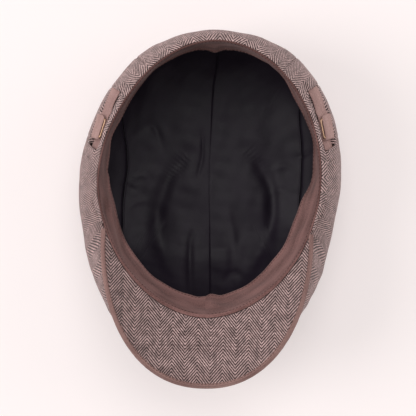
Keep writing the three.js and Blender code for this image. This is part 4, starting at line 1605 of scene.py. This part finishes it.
def lane_point(side, forward, across, above):
    """Metres forward of the rear slit, across the strap and above the sunk cloth."""
    forward, across, above = np.broadcast_arrays(forward, across, above)
    share = forward / LANE_LENGTH
    deg = mix(REAR_SLIT, front_slit(LANE_FRONT), share)
    at = lane_station(share)
    down = unit(crown(deg, at + 0.05) - crown(deg, at - 0.05))
    above = above - recess(share) + lane_tilt(share, across)
    p = crown(deg, at) + normals(crown, deg, at) * above[..., None]
    return (p + down * across[..., None]) * [side, 1, 1]


print("The strap's lane is", round(LANE_LENGTH * 1000, 1), "mm long")

# %% Heights of the strap's layers
STRAP_WIDTH = 0.012
STRAP_THICKNESS = 0.001
FRONT_STRAP_WIDTH = 0.010
BUCKLE_LENGTH = 0.015
BUCKLE_WIRE = 0.0012
TAB_LENGTH = 0.018
FOLD_SETBACK = 0.0065
STRAP_TUCK = 0.0016
STRAP_CLIMB = 0.004

UNDER = SEAM_GAP + STRAP_THICKNESS / 2
LOW = UNDER + STRAP_THICKNESS + SEAM_GAP
HIGH = LOW + STRAP_THICKNESS + BUCKLE_WIRE + 2 * SEAM_GAP
TURN = (HIGH - LOW) / 2
FOLD_AT = LANE_LENGTH - FOLD_SETBACK - TURN
TAB_END = FOLD_AT + TURN + STRAP_THICKNESS / 2 - TAB_LENGTH
BUCKLE_MIDDLE = FOLD_AT + STRAP_THICKNESS / 2 - BUCKLE_LENGTH / 2
print("The fold stands", round(HIGH * 1000, 1), "mm above the lane")

# %% A strap along a path
TAB_NARROWER = 0.1
TAB_CORNER = 0.0012
STRAP_SQUARED = 2 / 6
STRAP_CROWN = 0.00015


def resampled(path, step):
    """Points evenly spaced along a path of forward and above, rounded at its corners."""
    path = np.array(path, float)
    length = np.concatenate([[0], np.cumsum(np.linalg.norm(np.diff(path, axis=0), axis=1))])
    at = np.linspace(0, length[-1], int(length[-1] / step) + 1)
    return np.stack([np.interp(at, length, path[:, k]) for k in (0, 1)], -1), length[-1] - at


def strap(name, side, path, width, tip=0.0):
    line, left = resampled(path, 0.0005)
    run = unit(np.gradient(line, axis=0))
    lift = np.stack([-run[:, 1], run[:, 0]], -1)
    corner = circle(32)
    across = power(np.cos(corner), STRAP_SQUARED)[:, None] * width / 2
    rounded = np.sqrt(np.clip(1 - np.clip(1 - left / max(tip, 1e-9), 0, 1) ** 2, 0.25, 1))
    turned_back = 1 - TAB_NARROWER * smooth(LOW, HIGH, line[:, 1])
    across = across * (rounded * turned_back if tip else 1)
    face = power(np.sin(corner), STRAP_SQUARED)[:, None] * STRAP_THICKNESS / 2
    forward = line[None, :, 0] + lift[None, :, 0] * face
    above = line[None, :, 1] + lift[None, :, 1] * face
    crowned = STRAP_CROWN * np.cos(across / width * math.pi)
    points = lane_point(side, forward, across, above + crowned * np.sign(face))
    points = points if side > 0 else points[::-1]
    cloth = np.stack([(left.max() - left)[None] + 0 * across, arc(points, 0)], -1)
    cloth = np.concatenate([cloth, cloth[:1] + [0, 0.02]])
    mesh_piece(name, points, cloth, STRAP_FINISH, tube=True)


print("The tab ends", round(TAB_END * 1000, 1), "mm along the lane")

# %% [markdown]
# ## Buckles
#
# A buckle is a round wire bent to a rectangle with soft corners. A curve with a bevel would give
# the wire, but here it is a ring of circles on a squared oval, laid into the lane by the same
# function as the strap, so that it bends with it. One long side is lifted by the folded strap.

# %% A buckle
BUCKLE_SQUARED = 2 / 9
BUCKLE_LIFT = 0.0009
BUCKLE_GIRTH = 0.0047
BUCKLE_ROUND = 0.05


def buckle(name, side):
    around, ring = circle(120)[None], circle(16)[:, None]
    along = power(np.cos(around), BUCKLE_SQUARED)
    across = power(np.sin(around), BUCKLE_SQUARED)
    wire = BUCKLE_WIRE / 2
    out = wire * np.cos(ring)
    half_length = BUCKLE_LENGTH / 2 - wire
    half_width = STRAP_WIDTH / 2 + wire + SEAM_GAP
    lifted = BUCKLE_LIFT * smooth(0.2, -0.6, across)
    points = lane_point(side, BUCKLE_MIDDLE + (half_length + out) * along,
                        (half_width + out) * across, LOW + TURN + lifted + wire * np.sin(ring))
    rows, columns = points.shape[:2]
    lengths, girth = np.meshgrid(np.linspace(0, BUCKLE_ROUND, columns + 1),
                                 np.linspace(0, BUCKLE_GIRTH, rows + 1))
    mesh_piece(name, points, np.stack([lengths, girth], -1), BRASS_FINISH, ring=True,
               tube=True)


print("A buckle's wire is", BUCKLE_WIRE * 1000, "mm thick")

# %% [markdown]
# ## Both sides
#
# Both sides have the same two paths. Mirrored copies would be quicker to make, but the cap has
# settled differently at each side, so each strap and buckle is laid where it belongs.


# %% Straps and buckles in their lanes
def strap_paths():
    """The rear strap's path, folded back over itself, and the front strap's."""
    bend = [(FOLD_AT + TURN * math.cos(a), LOW + TURN + TURN * math.sin(a))
            for a in np.radians(np.linspace(-80, 80, 12))]
    rear = [(-STRAP_TUCK, UNDER), (TAB_END - STRAP_CLIMB, UNDER), (TAB_END, LOW), (FOLD_AT, LOW),
            *bend, (FOLD_AT, HIGH), (TAB_END, HIGH)]
    return rear, [(BUCKLE_MIDDLE, UNDER), (LANE_LENGTH + STRAP_TUCK, UNDER)]


rear_path, front_path = strap_paths()
for name, side in (("right", 1), ("left", -1)):
    strap(f"strap_rear_{name}", side, rear_path, STRAP_WIDTH, TAB_CORNER)
    strap(f"strap_front_{name}", side, front_path, FRONT_STRAP_WIDTH)
    buckle(f"buckle_{name}", side)

# %% [markdown]
# ## The table and the light
#
# A plain pale floor and large soft lights from the upper left, as in a small studio. A small lamp
# or a sun would draw hard shadows, which the satin and the suede would not forgive. The floor is
# paper that glows a little, so that it stays pale round the cap without more light on the cap.

# %% The floor
FLOOR_SIZE = 60
FLOOR_GLOW = 0.36
PAPER = ((0.65, 0.60, 0.595), (0.66, 0.61, 0.605))


def floor():
    bpy.ops.mesh.primitive_plane_add(size=FLOOR_SIZE)
    plane = bpy.context.object
    plane.name = "floor"
    pale = Finish("floor_paper", Roughness=0.9, Specular_IOR_Level=0.1,
                  Emission_Color=(1.0, 0.945, 0.94), Emission_Strength=FLOOR_GLOW)
    cloud = pale.noise(pale.node("ShaderNodeTexCoord", None, None, 3), 1.5, dimensions="3D")
    plane.data.materials.append(pale.wear(Base_Color=pale.blend(cloud, *PAPER)))
    print("The floor is", FLOOR_SIZE, "m wide")


floor()

# %% The lights
LIT_POINT = (0, 0, 0.05)
LIGHTS = (  # name, place, width in metres, power in watts, colour
    ("window", (-2.7, -0.1, 2.4), 2.0, 51.0, (1, 0.975, 0.97)),
    ("overhead", (0.2, 1.3, 3.5), 2.6, 44.0, (1, 0.975, 0.97)),
    ("fill", (2.6, 0.8, 2.0), 2.0, 11.0, (1, 0.985, 0.98)),
)
SKY = (1.0, 0.98, 0.975, 1)
SKY_STRENGTH = 0.47


def area_light(name, place, size, power_w, tint):
    light = bpy.data.lights.new(name, "AREA")
    light.shape = "DISK"
    light.size = size
    light.energy = power_w
    light.color = tint
    lamp = bpy.data.objects.new(name, light)
    lamp.location = place
    aim = Vector(LIT_POINT) - Vector(place)
    lamp.rotation_euler = aim.to_track_quat("-Z", "Y").to_euler()
    bpy.context.scene.collection.objects.link(lamp)
    print(name, "gives", power_w, "W")


for light in LIGHTS:
    area_light(*light)
world = bpy.data.worlds.new("studio")
world.use_nodes = True
world.node_tree.nodes["Background"].inputs["Color"].default_value = SKY
world.node_tree.nodes["Background"].inputs["Strength"].default_value = SKY_STRENGTH
bpy.context.scene.world = world
bpy.context.scene.view_settings.view_transform = "Standard"

# %% [markdown]
# ## The camera
#
# The camera looks straight down from 1.3 m above the rim, and is turned by under two degrees, as
# the cap lies a little askew. A near camera would swell the rim against the crown, and a flat
# projection would hide the walls, so the distance is that of a photographer who stands over a
# table. The lens then follows from the width of the picture at the rim.

# %% The camera
CAMERA_DISTANCE = 1.3
CAMERA_PLACE = (-0.0001, -0.0006)
CAMERA_TURN = 1.7
PICTURE_WIDTH = 0.3037
SENSOR = 36
lens = bpy.data.cameras.new("camera")
lens.sensor_width = SENSOR
lens.lens = SENSOR * CAMERA_DISTANCE / PICTURE_WIDTH
camera = bpy.data.objects.new("camera", lens)
camera.location = (*CAMERA_PLACE, RIM_HEIGHT + CAMERA_DISTANCE)
camera.rotation_euler = (0, 0, math.radians(CAMERA_TURN))
bpy.context.scene.collection.objects.link(camera)
bpy.context.scene.camera = camera
print("The lens is", round(lens.lens, 1), "mm")

# %% [markdown]
# Soft pieces may stand proud of the solids by a few millimetres, and no more.
